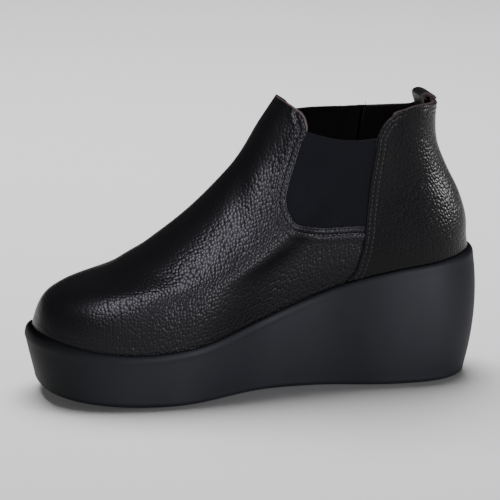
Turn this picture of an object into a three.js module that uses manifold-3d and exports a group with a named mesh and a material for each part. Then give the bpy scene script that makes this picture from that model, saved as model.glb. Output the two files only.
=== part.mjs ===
// A right ankle boot of leather on a high one-piece platform wedge, with elastic side panels and a tab.
// Millimetres. +X runs to the toe, +Y to the inner (big-toe) side, +Z up. It stands on the floor at z = 0.

import * as THREE from "three";
import { mergeVertices } from "three/addons/utils/BufferGeometryUtils.js";
import Module from "manifold-3d";

const wasm = await Module();
wasm.setup();

// Driving sizes of the last and the shaft

const LAST_LENGTH = 247; // feather edge, from the back of the heel to the tip of the toe
const BALL_WIDTH = 92; // across the joints of the foot
const SEAT_HEIGHT = 72.5; // feather edge above the floor at the back
const PLATFORM_HEIGHT = 30; // feather edge above the floor at the ball
const BACK_HEIGHT = 83; // from the seat to the collar at the back
const FRONT_HEIGHT = 130; // from the feather edge at the toe to the peak of the front panel

// Thicknesses and clearances

const LEATHER = 2; // wall of the upper, leather and lining together
const OVERLAY = 1.2; // leather of the heel quarter
const ELASTIC = 1.4; // side panels
const ELASTIC_SINK = 0.5; // how far the elastic lies under the face of the leather
const GAP = 0.3; // between pieces that meet
const INSOLE = 3.2;
const CUP_DEPTH = 4; // how far the upper stands in the sole's rim
const PANEL_TUCK = 7; // how far a side panel runs back under the heel quarter

// Sizes of the sole

const RIM_SIDE = 2.6; // how far the rim stands proud of the upper, along the sides
const RIM_TOE = 3.9;
const RIM_HEEL = 4.8;
const RIM_ROUND_TOE = 5; // height of the rounded top of the rim at the toe
const RIM_ROUND_HEEL = 3; // and at the heel
const RIM_CROWN = 0.8; // rise of the rim over the feather edge
const WALL_SWELL = 3.4; // outward curve of the wall at half its height, at the heel
const FLOOR_EDGE = 3.5; // rounding along the floor
const TOE_SPRING = 6.5; // rise of the tread at the tip
const GROOVE_WIDTH = 2.6;
const GROOVE_DEPTH = 1.6;
const GROOVE_MARGIN = 8; // plain border round the tread
const RIM_LAND = 1; // flat top of the rim beside the upper
const RIM_NECK = 0.7; // shallow hollow under the rolled rim
const SPRING_FROM = 0.7; // where the toe spring starts, as a share of the length
const FOREFOOT_GROOVES = [0.55, 0.85, 8]; // from and to, as shares of the length, and how many
const HEEL_GROOVES = [0.07, 0.27, 6];

// Pull tab at the back

const TAB_WIDTH = 16;
const TAB_THICKNESS = 1.8;
const TAB_RISE = 4; // height of the loop over the collar
const TAB_LEAN = 3; // how far its top leans forward, off the lining
const TAB_INSIDE = 12; // how far it runs down the lining
const TAB_ROOT = 0.8; // how far its back end lies over the collar's edge

// Fineness of the faceted surfaces

const ROUND = 56; // points on a loop round the foot
const STEPS = 16; // loops from the feather edge to the collar
const EDGE_STEPS = 3; // loops of the rounding along the floor
const WALL_STEPS = 6; // loops up the sole's wall
const RIM_STEPS = 4; // loops round the rim
const COLLAR_STEPS = [14, 8, 20]; // along the front panel, the side panel and the heel quarter
const PANEL_STEPS = 18;
const QUARTER_STEPS = 12;
const TAB_STEPS = 24;
const RIM_LINE_STEPS = 40;
const HALVINGS = 24; // of the search for a height on the back
const END_FADE = 6; // how soon the rim's toe and heel sizes fade into its sides
const WELD = 1e-4; // points closer than this are one

/** Turns rows of numbers into objects whose keys are the column names. */
function table(columns, rows) {
  return rows.map((row) => Object.fromEntries(columns.map((name, i) => [name, row[i]])));
}

// Feather edge of the last: share of its length, share of the rise from the platform to the seat
const BOTTOM = table(["at", "rise"], [
  [0.0, 1.0],
  [0.1, 0.912],
  [0.2, 0.829],
  [0.3, 0.687],
  [0.4, 0.481],
  [0.5, 0.271],
  [0.6, 0.127],
  [0.7, 0.03],
  [0.8, 0.0],
  [0.9, 0.055],
  [1.0, 0.19],
]);

// Sections of the boot, each a leaning loop from a point on the back to a point on the ridge of the vamp.
// backX and frontX are shares of LAST_LENGTH, backZ of BACK_HEIGHT over the seat, frontZ of FRONT_HEIGHT
// over the toe's feather edge. heel, waist and ball are half-widths on the inner and outer side, shares of
// BALL_WIDTH / 2, reached at the shares heelAt, waistAt and ballAt of the way forward. backRound and
// toeRound shape the two ends.
const SECTIONS = table(
  ["t", "backX", "backZ", "frontX", "frontZ",
    "heelIn", "waistIn", "ballIn", "heelOut", "waistOut", "ballOut",
    "heelAt", "waistAt", "ballAt", "backRound", "toeRound"],
  [
    [0.0, 0.002, 0.0, 1.0, 0.0, 0.7, 0.52, 0.97, 0.7, 0.84, 1.02, 0.135, 0.42, 0.72, 2.2, 2.3],
    [0.08, 0.006, 0.085, 0.982, 0.109, 0.72, 0.57, 0.99, 0.72, 0.86, 1.03, 0.135, 0.42, 0.71, 2.2, 2.3],
    [0.2, 0.008, 0.212, 0.938, 0.195, 0.71, 0.6, 0.95, 0.71, 0.84, 0.98, 0.14, 0.42, 0.69, 2.2, 2.25],
    [0.35, 0.025, 0.382, 0.816, 0.276, 0.66, 0.62, 0.85, 0.66, 0.78, 0.87, 0.15, 0.41, 0.64, 2.2, 2.2],
    [0.5, 0.053, 0.551, 0.66, 0.456, 0.6, 0.62, 0.72, 0.6, 0.7, 0.74, 0.17, 0.4, 0.58, 2.2, 2.2],
    [0.65, 0.076, 0.721, 0.544, 0.657, 0.58, 0.62, 0.63, 0.58, 0.65, 0.64, 0.2, 0.4, 0.53, 2.2, 2.2],
    [0.82, 0.081, 0.89, 0.473, 0.853, 0.57, 0.61, 0.59, 0.57, 0.61, 0.59, 0.26, 0.42, 0.52, 2.2, 2.2],
    [1.0, 0.074, 1.081, 0.393, 1.072, 0.57, 0.61, 0.57, 0.57, 0.61, 0.57, 0.3, 0.43, 0.52, 2.2, 2.2],
  ],
);

// Outline of the sole on the floor, in the same columns as a section; its ends are shares of LAST_LENGTH
const FLOOR = {
  backX: 0.002, frontX: 0.993,
  heelIn: 0.7, waistIn: 0.49, ballIn: 0.98, heelOut: 0.7, waistOut: 0.72, ballOut: 0.98,
  heelAt: 0.15, waistAt: 0.42, ballAt: 0.76, backRound: 2.3, toeRound: 2.6,
};

// The lines below lie on the form: t as in SECTIONS, a the share of the way forward along that section

// Collar on the inner side: front panel from its peak, then the top of the side panel, then the heel quarter
const COLLAR_INNER = [
  table(["t", "a"], [
    [0.9, 1.0], [0.898, 0.985], [0.884, 0.926], [0.867, 0.866], [0.841, 0.821], [0.8, 0.783],
  ]),
  table(["t", "a"], [[0.8, 0.783], [0.766, 0.608], [0.753, 0.493], [0.755, 0.38]]),
  table(["t", "a"], [
    [0.755, 0.38], [0.795, 0.376], [0.844, 0.358], [0.885, 0.31],
    [0.904, 0.25], [0.92, 0.2], [0.93, 0.12], [0.932, 0.0],
  ]),
];

// Collar on the outer side, nearly level between the front panel and the back
const COLLAR_OUTER = [
  table(["t", "a"], [
    [0.9, 1.0], [0.898, 0.985], [0.884, 0.926], [0.867, 0.866], [0.845, 0.82], [0.826, 0.785],
  ]),
  table(["t", "a"], [[0.826, 0.785], [0.829, 0.66], [0.829, 0.52], [0.829, 0.38]]),
  table(["t", "a"], [
    [0.829, 0.38], [0.831, 0.29], [0.836, 0.18], [0.852, 0.08], [0.881, 0.035], [0.921, 0.01], [0.932, 0.0],
  ]),
];

// Side panel: its front edge from the collar down, then its lower edge running back
const PANEL = table(["t", "a"], [
  [0.85, 0.785],
  [0.8, 0.785],
  [0.739, 0.779],
  [0.651, 0.753],
  [0.579, 0.716],
  [0.54, 0.688],
  [0.496, 0.641],
  [0.45, 0.58],
  [0.412, 0.51],
  [0.379, 0.445],
  [0.353, 0.374],
  [0.326, 0.298],
  [0.3, 0.225],
]);

// Front edge of the heel quarter, from over the collar down to the sole
const QUARTER = table(["t", "a"], [
  [0.86, 0.392],
  [0.755, 0.38],
  [0.543, 0.345],
  [0.398, 0.312],
  [0.274, 0.29],
  [0.204, 0.283],
  [0.137, 0.281],
  [0.054, 0.287],
  [0.017, 0.304],
  [0.0, 0.315],
]);

/** Smooth cubic through the rows of a table at `at`, read in the column `key`. */
function smoothRow(rows, parameter, key, at) {
  const last = rows.length - 1;
  const x = Math.min(Math.max(at, rows[0][parameter]), rows[last][parameter]);
  let i = 0;
  while (i < last - 1 && x >= rows[i + 1][parameter]) i += 1;
  const step = (k) => rows[k + 1][parameter] - rows[k][parameter];
  const chord = (k) => (rows[k + 1][key] - rows[k][key]) / step(k);
  const inner = (k) => (chord(k - 1) * step(k) + chord(k) * step(k - 1)) / (step(k) + step(k - 1));
  const slope = (k) => {
    if (k === 0) return 1.5 * chord(0) - 0.5 * inner(1);
    if (k === last) return 1.5 * chord(last - 1) - 0.5 * inner(last - 1);
    return inner(k);
  };
  const h = step(i);
  const s = (x - rows[i][parameter]) / h;
  const s2 = s * s;
  const s3 = s2 * s;
  return (2 * s3 - 3 * s2 + 1) * rows[i][key] + (s3 - 2 * s2 + s) * h * slope(i)
    + (3 * s2 - 2 * s3) * rows[i + 1][key] + (s3 - s2) * h * slope(i + 1);
}

/** Height of the feather edge above the floor at x. */
function featherZ(x) {
  const rise = smoothRow(BOTTOM, "at", "rise", x / LAST_LENGTH);
  return PLATFORM_HEIGHT + (SEAT_HEIGHT - PLATFORM_HEIGHT) * rise;
}

const TOE_FEATHER = featherZ(LAST_LENGTH);

/** Blend from 0 to 1 with no corner at either end. */
function ease(x) {
  const s = Math.min(Math.max(x, 0), 1);
  return s * s * s * (s * (s * 6 - 15) + 10);
}

const OUTER_WAIST_BACK = 0.02; // the outer waist lies this share further back than the inner one
const OUTER_BALL_BACK = 0.06; // and the little-toe joint this share further back than the big-toe joint

/** Half-width at the share `a` of a section, on the inner side (side = 1) or the outer side (side = -1). */
function halfWidth(row, a, side) {
  const inner = side > 0;
  const heel = inner ? row.heelIn : row.heelOut;
  const waist = inner ? row.waistIn : row.waistOut;
  const ball = inner ? row.ballIn : row.ballOut;
  const waistAt = row.waistAt - (inner ? 0 : OUTER_WAIST_BACK);
  const ballAt = row.ballAt - (inner ? 0 : OUTER_BALL_BACK);
  const rear = heel + (waist - heel) * ease((a - row.heelAt) / (waistAt - row.heelAt));
  const fore = waist + (ball - waist) * ease((a - waistAt) / (ballAt - waistAt));
  const back = Math.min(Math.max((row.heelAt - a) / row.heelAt, 0), 1);
  const front = Math.min(Math.max((a - ballAt) / (1 - ballAt), 0), 1);
  const backEnd = (1 - back ** row.backRound) ** (1 / row.backRound);
  const toeEnd = (1 - front ** row.toeRound) ** (1 / row.toeRound);
  return (a < waistAt ? rear : fore) * backEnd * toeEnd * BALL_WIDTH / 2;
}

/** Section row at height share t, every column smoothed. */
function sectionAt(t) {
  return Object.fromEntries(Object.keys(SECTIONS[0]).map((key) => [key, smoothRow(SECTIONS, "t", key, t)]));
}

/** Share of the way forward, and the side, of the angle v round a loop: 0 at the back, PI at the front. */
function roundTheFoot(v) {
  return { a: 0.5 - 0.5 * Math.cos(v), side: Math.sin(v) >= 0 ? 1 : -1 };
}

/** Side-view place of the share `a` of a section. */
function sideView(row, a) {
  const backX = row.backX * LAST_LENGTH;
  const frontX = row.frontX * LAST_LENGTH;
  const backZ = SEAT_HEIGHT + row.backZ * BACK_HEIGHT;
  const frontZ = TOE_FEATHER + row.frontZ * FRONT_HEIGHT;
  const x = backX + (frontX - backX) * a;
  const level = SEAT_HEIGHT + (TOE_FEATHER - SEAT_HEIGHT) * (x / LAST_LENGTH);
  const bow = (featherZ(x) - level) * (1 - row.t) ** 3;
  return new THREE.Vector2(x, backZ + (frontZ - backZ) * a + bow);
}

/** Point of the boot's outer form in the section row, at the angle v. */
function formPoint(row, v) {
  const { a, side } = roundTheFoot(v);
  const place = sideView(row, a);
  return new THREE.Vector3(place.x, side * halfWidth(row, a, side), place.y);
}

const NUDGE = 0.02; // step in t and v over which a direction is taken

/** Outward direction of the form at t and v. */
function formNormal(t, v) {
  const low = sectionAt(Math.max(t - NUDGE, 0));
  const high = sectionAt(Math.min(t + NUDGE, 1));
  const row = sectionAt(t);
  const along = formPoint(row, v + NUDGE).sub(formPoint(row, v - NUDGE));
  const up = formPoint(high, v).sub(formPoint(low, v));
  return along.cross(up).negate().normalize();
}

const loopAngles = Array.from({ length: ROUND }, (_, i) => (2 * Math.PI * i) / ROUND);

/** Loop of points on the form at t, moved out by `offset`. */
function formLoop(t, offset) {
  const row = sectionAt(t);
  return loopAngles.map((v) => formPoint(row, v).addScaledVector(formNormal(t, v), offset));
}

/** Value at v of a size that is a number or a function of v. */
function sizeAt(size, v) {
  return typeof size === "function" ? size(v) : size;
}

/** Loop of the feather edge, moved out level by `offset` and raised by `lift`, either of them a size. */
function featherLoop(offset, lift) {
  const row = sectionAt(0);
  return loopAngles.map((v) => {
    const point = formPoint(row, v);
    const z = featherZ(point.x) + sizeAt(lift, v);
    const out = formNormal(0, v).setZ(0).normalize();
    return point.addScaledVector(out, sizeAt(offset, v)).setZ(z);
  });
}

/** Closed geometry through a pile of loops, each end closed by rungs from side to side. */
function loft(loops) {
  const positions = loops.flatMap((loop) => loop.flatMap((p) => [p.x, p.y, p.z]));
  const count = loops[0].length;
  const faces = [];
  for (let j = 0; j < loops.length - 1; j += 1) {
    for (let i = 0; i < count; i += 1) {
      const next = (i + 1) % count;
      const a = j * count + i;
      const b = j * count + next;
      faces.push(a, b + count, b, a, a + count, b + count);
    }
  }
  const top = (loops.length - 1) * count;
  for (let i = 0; i < count / 2; i += 1) {
    const left = [i, i + 1];
    const right = [(count - i) % count, count - i - 1];
    const cap = (base, turn) => {
      const quad = [left[0], left[1], right[1], right[0]].map((k) => base + k);
      const tris = [[quad[0], quad[1], quad[2]], [quad[0], quad[2], quad[3]]];
      for (const [p, q, r] of tris) {
        if (p !== q && q !== r && p !== r) faces.push(...(turn ? [p, r, q] : [p, q, r]));
      }
    };
    cap(0, false);
    cap(top, true);
  }
  const geometry = new THREE.BufferGeometry();
  geometry.setAttribute("position", new THREE.Float32BufferAttribute(positions, 3));
  geometry.setIndex(faces);
  return geometry;
}

/** Manifold solid of a closed geometry, its faces turned out. */
function solid(geometry) {
  const bare = geometry.clone();
  bare.deleteAttribute("normal");
  bare.deleteAttribute("uv");
  const merged = mergeVertices(bare, WELD);
  const triVerts = Uint32Array.from(merged.index.array);
  const vertProperties = Float32Array.from(merged.getAttribute("position").array);
  const corner = (k) => new THREE.Vector3().fromArray(vertProperties, 3 * triVerts[k]);
  let volume = 0;
  for (let k = 0; k < triVerts.length; k += 3) volume += corner(k).dot(corner(k + 1).cross(corner(k + 2)));
  if (volume < 0) triVerts.reverse();
  return new wasm.Manifold(new wasm.Mesh({ numProp: 3, vertProperties, triVerts }));
}

/** Geometry of a manifold solid. */
function geometryOf(manifold) {
  const mesh = manifold.getMesh();
  const positions = Float32Array.from(mesh.vertProperties);
  const geometry = new THREE.BufferGeometry();
  geometry.setAttribute("position", new THREE.Float32BufferAttribute(positions, 3));
  geometry.setIndex(Array.from(mesh.triVerts));
  return geometry;
}

/** The form as a solid, grown by `offset`, from `below` the feather edge to `above` the last section. */
function formSolid(offset, below, above) {
  const loops = [featherLoop(offset, -below), featherLoop(offset, 0)];
  for (let j = 1; j <= STEPS; j += 1) loops.push(formLoop(j / STEPS, offset));
  if (above > 0) loops.push(formLoop(1, offset).map((p) => p.clone().setZ(p.z + above)));
  return solid(loft(loops));
}

const REACH = BALL_WIDTH; // half-width of the cutters, past both sides of the boot

/** Solid of a side-view outline, from y = from to y = to. */
function sideCut(points, from, to) {
  const shape = new THREE.Shape(points);
  const geometry = new THREE.ExtrudeGeometry(shape, { depth: to - from, bevelEnabled: false, steps: 1 });
  geometry.rotateX(Math.PI / 2);
  geometry.translate(0, to, 0);
  return solid(geometry);
}

/** A side-view line moved sideways by `distance`, to the left of its run. */
function besideLine(points, distance) {
  return points.map((p, i) => {
    const before = points[Math.max(i - 1, 0)];
    const after = points[Math.min(i + 1, points.length - 1)];
    const run = after.clone().sub(before).normalize();
    return new THREE.Vector2(p.x - run.y * distance, p.y + run.x * distance);
  });
}

/** Smooth side-view line through the rows of a table, with `pieces` steps. */
function smoothLine(rows, pieces) {
  return new THREE.SplineCurve(rows.map(({ t, a }) => sideView(sectionAt(t), a))).getPoints(pieces);
}

const SKY = SEAT_HEIGHT + BACK_HEIGHT + FRONT_HEIGHT; // above everything

const panelLine = smoothLine(PANEL, PANEL_STEPS);
const quarterLine = smoothLine(QUARTER, QUARTER_STEPS);

/** Side-view line of a collar, its stretches meeting at sharp corners. */
function collarLine(stretches) {
  return stretches.flatMap((rows, k) => smoothLine(rows, COLLAR_STEPS[k]).slice(k === 0 ? 0 : 1));
}

const collarInner = collarLine(COLLAR_INNER);
const collarOuter = collarLine(COLLAR_OUTER);

/** Everything over one side's collar line. */
function overLine(line, from, to) {
  const first = line[0];
  const last = line[line.length - 1];
  return sideCut([
    new THREE.Vector2(first.x + LAST_LENGTH, first.y),
    ...line,
    new THREE.Vector2(last.x - LAST_LENGTH, last.y),
    new THREE.Vector2(last.x - LAST_LENGTH, SKY),
    new THREE.Vector2(first.x + LAST_LENGTH, SKY),
  ], from, to);
}

/** Everything over the collar. */
function overCollar() {
  return overLine(collarInner, 0, REACH).add(overLine(collarOuter, -REACH, 0));
}

/** Side-panel shape, `margin` larger all round, on the inner side (1) or the outer side (-1). */
function panelCut(margin, side) {
  const rear = collarInner[collarInner.length - 1 - COLLAR_STEPS[2]].x - PANEL_TUCK - margin;
  const edge = besideLine(panelLine, margin).filter((point) => point.x > rear);
  const low = edge[edge.length - 1].y;
  const outline = [
    new THREE.Vector2(edge[0].x, SKY),
    ...edge,
    new THREE.Vector2(rear, low),
    new THREE.Vector2(rear, SKY),
  ];
  return sideCut(outline, side > 0 ? 0 : -REACH, side > 0 ? REACH : 0);
}

/** Everything behind the front edge of the heel quarter. */
function quarterCut() {
  const top = quarterLine[0];
  const foot = quarterLine[quarterLine.length - 1];
  return sideCut([
    new THREE.Vector2(top.x, SKY),
    ...quarterLine,
    new THREE.Vector2(foot.x, 0),
    new THREE.Vector2(-LAST_LENGTH, 0),
    new THREE.Vector2(-LAST_LENGTH, SKY),
  ], -REACH, REACH);
}

/** Everything below the top of the sole's rim and the clearance over it. */
function underRim() {
  const rimLine = Array.from({ length: RIM_LINE_STEPS + 1 }, (_, k) => {
    const x = (LAST_LENGTH * k) / RIM_LINE_STEPS;
    return new THREE.Vector2(x, featherZ(x) + RIM_CROWN + GAP);
  });
  return sideCut([
    new THREE.Vector2(-LAST_LENGTH, rimLine[0].y),
    ...rimLine,
    new THREE.Vector2(LAST_LENGTH, -SEAT_HEIGHT),
    new THREE.Vector2(-LAST_LENGTH, -SEAT_HEIGHT),
  ], -REACH, REACH);
}

// Upper: one hollow leather shell, open at the collar, at the two side panels and underneath

function makeUpper() {
  const outside = formSolid(0, CUP_DEPTH - GAP, 0);
  const inside = formSolid(-LEATHER, 2 * CUP_DEPTH, CUP_DEPTH);
  return outside.subtract(inside).subtract(overCollar()).subtract(panelCut(0, 1)).subtract(panelCut(0, -1));
}

// Side panels: elastic set a little under the face of the leather, tucked under the heel quarter

function makePanel(side) {
  const outside = formSolid(-ELASTIC_SINK, 0, 0);
  const inside = formSolid(-ELASTIC_SINK - ELASTIC, CUP_DEPTH, CUP_DEPTH);
  return outside.subtract(inside).intersect(panelCut(-GAP, side)).subtract(overCollar());
}

// Heel quarter: leather laid over the back of the upper and over the rear edges of the side panels

function makeQuarter() {
  const outside = formSolid(GAP + OVERLAY, 0, 0);
  const inside = formSolid(GAP, CUP_DEPTH, CUP_DEPTH);
  return outside.subtract(inside).intersect(quarterCut()).subtract(underRim()).subtract(overCollar());
}

// Sole: platform, wedge and heel moulded as one, with a cup for the upper and a rolled rim

/** Value at the angle v of a size that is `side` along the sides, with its own values at toe and heel. */
function roundValue(v, side, toe, heel) {
  const toeward = Math.max(-Math.cos(v), 0) ** END_FADE;
  const heelward = Math.max(Math.cos(v), 0) ** END_FADE;
  return side + (toe - side) * toeward + (heel - side) * heelward;
}

/** Height of the tread above the floor at x: flat from the heel to the ball, then the toe spring. */
function treadZ(x) {
  const start = SPRING_FROM * LAST_LENGTH;
  const end = FLOOR.frontX * LAST_LENGTH;
  return TOE_SPRING * Math.max((x - start) / (end - start), 0) ** 2;
}

/** Point of the floor outline at the angle v. */
function floorPoint(v) {
  const { a, side } = roundTheFoot(v);
  return new THREE.Vector2(
    (FLOOR.backX + (FLOOR.frontX - FLOOR.backX) * a) * LAST_LENGTH, side * halfWidth(FLOOR, a, side),
  );
}

/** Loop of the floor outline, moved in by `inset` and raised by `lift`. */
function floorLoop(inset, lift) {
  return loopAngles.map((v) => {
    const run = floorPoint(v + NUDGE).sub(floorPoint(v - NUDGE)).normalize();
    const point = floorPoint(v);
    const x = point.x + run.y * inset;
    return new THREE.Vector3(x, point.y - run.x * inset, treadZ(x) + lift);
  });
}

/** Loops of the sole's outside, from the floor up to the top of the rim. */
function soleLoops() {
  const loops = [];
  for (let k = 0; k <= EDGE_STEPS; k += 1) {
    const turn = (Math.PI / 2) * (k / EDGE_STEPS);
    loops.push(floorLoop(FLOOR_EDGE * (1 - Math.sin(turn)), FLOOR_EDGE * (1 - Math.cos(turn))));
  }
  const foot = loops[loops.length - 1];
  const proud = (v) => roundValue(v, RIM_SIDE, RIM_TOE, RIM_HEEL);
  const round = (v) => roundValue(v, RIM_SIDE, RIM_ROUND_TOE, RIM_ROUND_HEEL);
  const neck = featherLoop((v) => proud(v) - RIM_NECK, (v) => -round(v) - RIM_NECK);
  for (let k = 1; k < WALL_STEPS; k += 1) {
    const s = k / WALL_STEPS;
    loops.push(loopAngles.map((v, i) => {
      const point = foot[i].clone().lerp(neck[i], s);
      const out = formNormal(0, v).setZ(0).normalize();
      const swell = WALL_SWELL * Math.max(Math.cos(v), 0) * 4 * s * (1 - s);
      return point.addScaledVector(out, swell);
    }));
  }
  loops.push(neck);
  for (let k = 0; k <= RIM_STEPS; k += 1) {
    const turn = (Math.PI / 2) * (k / RIM_STEPS);
    loops.push(featherLoop(
      (v) => RIM_LAND + (proud(v) - RIM_LAND) * Math.cos(turn),
      (v) => -round(v) + (round(v) + RIM_CROWN) * Math.sin(turn),
    ));
  }
  return loops;
}

/** Shallow grooves across the tread, inside its plain border, from one share of the length to another. */
function grooves(from, to, count) {
  const bars = Array.from({ length: count }, (_, k) => {
    const x = LAST_LENGTH * (from + (to - from) * (k / (count - 1)));
    const bar = new THREE.BoxGeometry(GROOVE_WIDTH, 2 * REACH, PLATFORM_HEIGHT);
    bar.translate(x, 0, 0);
    return solid(bar);
  });
  return bars.reduce((all, bar) => all.add(bar));
}

function makeSole() {
  const block = solid(loft(soleLoops()));
  const cup = solid(loft([featherLoop(GAP, -CUP_DEPTH), featherLoop(GAP, 2 * RIM_CROWN)]));
  const bars = grooves(...FOREFOOT_GROOVES).add(grooves(...HEEL_GROOVES));
  const layer = [floorLoop(GROOVE_MARGIN, -GROOVE_DEPTH), floorLoop(GROOVE_MARGIN, GROOVE_DEPTH)];
  return block.subtract(cup).subtract(bars.intersect(solid(loft(layer))));
}

// Insole: lies in the sole's cup, inside the wall of the upper

function makeInsole() {
  const edge = -LEATHER - GAP;
  const under = -CUP_DEPTH + GAP;
  return solid(loft([featherLoop(edge, under), featherLoop(edge, under + INSOLE)]));
}

// Pull tab: a folded strip over the back of the collar, one end down the back and the other down the lining

/** Argument between 0 and `limit` at which the rising function `measure` reaches `value`. */
function reach(measure, limit, value) {
  let low = 0;
  let high = limit;
  for (let k = 0; k < HALVINGS; k += 1) {
    const middle = (low + high) / 2;
    if (measure(middle) < value) low = middle;
    else high = middle;
  }
  return low;
}

/** x of the back of the form at the height z, `y` to the side of the middle. */
function backX(z, y) {
  const row = sectionAt(reach((t) => formPoint(sectionAt(t), 0).z, 1, z));
  return formPoint(row, reach((v) => formPoint(row, v).y, Math.PI / 2, y)).x;
}

// Middle line of the tab over the collar: forward from the collar's edge to the full lean, up to TAB_RISE
const TAB_OVER = table(["forward", "rise"], [[0.2, 0.65], [0.62, 1.0], [0.96, 0.85], [1.0, 0.35]]);

// And down the lining: the share left of TAB_LEAN, the share reached of TAB_INSIDE
const TAB_DOWN = table(["lean", "drop"], [[0.55, 0.25], [0.12, 0.65], [0.0, 1.0]]);

function makePullTab() {
  const top = collarInner[collarInner.length - 1].y;
  const half = TAB_THICKNESS / 2;
  const edge = backX(top, 0);
  const wall = Math.max(backX(top, TAB_WIDTH / 2), backX(top - TAB_INSIDE, TAB_WIDTH / 2));
  const lining = wall + LEATHER + 2 * GAP + half;
  const span = lining + TAB_LEAN - edge;
  const over = TAB_OVER.map(({ forward, rise }) => [edge + span * forward, top + TAB_RISE * rise]);
  const down = TAB_DOWN.map(({ lean, drop }) => [lining + TAB_LEAN * lean, top - TAB_INSIDE * drop]);
  const path = new THREE.SplineCurve(
    [[edge, top + TAB_ROOT], ...over, ...down].map(([x, z]) => new THREE.Vector2(x, z)),
  ).getPoints(TAB_STEPS);
  const outline = [...besideLine(path, half), ...besideLine(path, -half).reverse()];
  return sideCut(outline, -TAB_WIDTH / 2, TAB_WIDTH / 2);
}

// The boot

/** Material of a visible piece. */
function finish(color, roughness) {
  return new THREE.MeshStandardMaterial({ color, roughness, metalness: 0 });
}

const leatherBlack = finish(0x17161a, 0.45);
const elasticGrey = finish(0x22242b, 0.9);
const soleBlack = finish(0x26262b, 0.7);
const liningDark = finish(0x1a1412, 0.85);

const pieces = [
  ["sole", makeSole(), soleBlack],
  ["insole", makeInsole(), liningDark],
  ["upper", makeUpper(), leatherBlack],
  ["heel_quarter", makeQuarter(), leatherBlack],
  ["side_panel_inner", makePanel(1), elasticGrey],
  ["side_panel_outer", makePanel(-1), elasticGrey],
  ["pull_tab", makePullTab(), leatherBlack],
];

const boot = new THREE.Group();
for (const [name, manifold, material] of pieces) {
  const mesh = new THREE.Mesh(geometryOf(manifold), material);
  mesh.name = name;
  boot.add(mesh);
}

// The origin lies on the floor under the middle of the boot
const box = new THREE.Box3().setFromObject(boot);
const middle = box.getCenter(new THREE.Vector3());
boot.position.set(-middle.x, -middle.y, -box.min.z);

export default boot;
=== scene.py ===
"""Looks of a right ankle boot on a platform wedge: pebbled leather, elastic side panels, moulded sole.

Metres, +X to the toe, +Y to the inner side, +Z up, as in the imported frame. Each sub-assembly is a class
that holds its sizes, builds its meshes on the form of the last and dresses them with its finishes.
"""

import logging
import math
from collections.abc import Callable
from dataclasses import dataclass, field, replace
from enum import Enum

import bmesh
import bpy
import numpy as np
from mathutils import Matrix, Vector
from mathutils.kdtree import KDTree

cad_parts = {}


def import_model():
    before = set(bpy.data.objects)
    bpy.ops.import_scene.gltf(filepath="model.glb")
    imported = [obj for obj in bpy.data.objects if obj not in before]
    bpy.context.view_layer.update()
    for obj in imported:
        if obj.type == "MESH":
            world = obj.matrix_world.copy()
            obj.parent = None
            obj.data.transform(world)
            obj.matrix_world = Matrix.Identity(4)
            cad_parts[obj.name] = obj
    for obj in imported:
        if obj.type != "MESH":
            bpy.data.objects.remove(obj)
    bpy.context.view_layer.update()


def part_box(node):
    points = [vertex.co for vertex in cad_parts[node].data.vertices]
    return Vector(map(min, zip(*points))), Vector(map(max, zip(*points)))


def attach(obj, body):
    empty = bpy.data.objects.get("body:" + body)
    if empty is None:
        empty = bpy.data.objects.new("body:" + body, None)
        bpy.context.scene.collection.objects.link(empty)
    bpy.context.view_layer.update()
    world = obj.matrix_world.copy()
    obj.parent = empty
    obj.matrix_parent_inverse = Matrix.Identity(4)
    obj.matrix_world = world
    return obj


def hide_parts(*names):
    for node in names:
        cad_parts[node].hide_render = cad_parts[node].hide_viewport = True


logging.basicConfig(level=logging.INFO, format="%(message)s")
log = logging.getLogger("boot")

MM = 0.001
WELD = 1e-6  # metres within which vertices are one
FOOT_T = 1e-5  # places below this t are on the feather edge

Colour = tuple[float, float, float]
Place = Callable[[np.ndarray, np.ndarray], np.ndarray]


class Side(Enum):
    """Which side of the foot a piece is on."""

    INNER = 1
    OUTER = -1


class Slot(Enum):
    """Materials of a piece with a wall, by their place in its list."""

    OUTSIDE = 0
    INSIDE = 1
    EDGE = 2


class Along(Enum):
    """Which way over the form the strength of a fold fades."""

    UP = "t"
    ROUND = "v"


def smooth_table(nodes: np.ndarray, values: np.ndarray, at: np.ndarray) -> np.ndarray:
    """Runs a smooth cubic through the rows of a table.

    Args:
        nodes: rising places of the rows.
        values: one row of columns for each node.
        at: places to read, held within the table.

    Returns:
        One row of columns for each place.
    """
    step = np.diff(nodes)
    chord = np.diff(values, axis=0) / step[:, None]
    before, after = step[:-1, None], step[1:, None]
    inner = (chord[:-1] * after + chord[1:] * before) / (before + after)
    slope = np.vstack([1.5 * chord[:1] - 0.5 * inner[:1], inner, 1.5 * chord[-1:] - 0.5 * inner[-1:]])
    x = np.clip(np.asarray(at, float), nodes[0], nodes[-1])
    i = np.clip(np.searchsorted(nodes, x, side="right") - 1, 0, len(step) - 1)
    h = step[i][..., None]
    s = (x - nodes[i])[..., None] / h
    rise = 3 * s**2 - 2 * s**3
    bend = (s**3 - 2 * s**2 + s) * slope[i] + (s**3 - s**2) * slope[i + 1]
    return (1 - rise) * values[i] + rise * values[i + 1] + h * bend


def cubic_line(knots: np.ndarray, steps: int) -> np.ndarray:
    """Runs a smooth line through knots.

    Args:
        knots: rows of coordinates.
        steps: how many parts run from one knot to the next.

    Returns:
        Rows of coordinates along the line.
    """
    padded = np.vstack([knots[:1], knots, knots[-1:]])
    share = np.linspace(0, 1, steps, endpoint=False)[:, None]
    parts = []
    for p0, p1, p2, p3 in zip(padded[:-3], padded[1:-2], padded[2:-1], padded[3:]):
        start, end = (p2 - p0) / 2, (p3 - p1) / 2
        parts.append(
            (2 * p1 - 2 * p2 + start + end) * share**3 + (-3 * p1 + 3 * p2 - 2 * start - end) * share**2
            + start * share + p1
        )
    return np.vstack([*parts, knots[-1:]])


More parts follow.
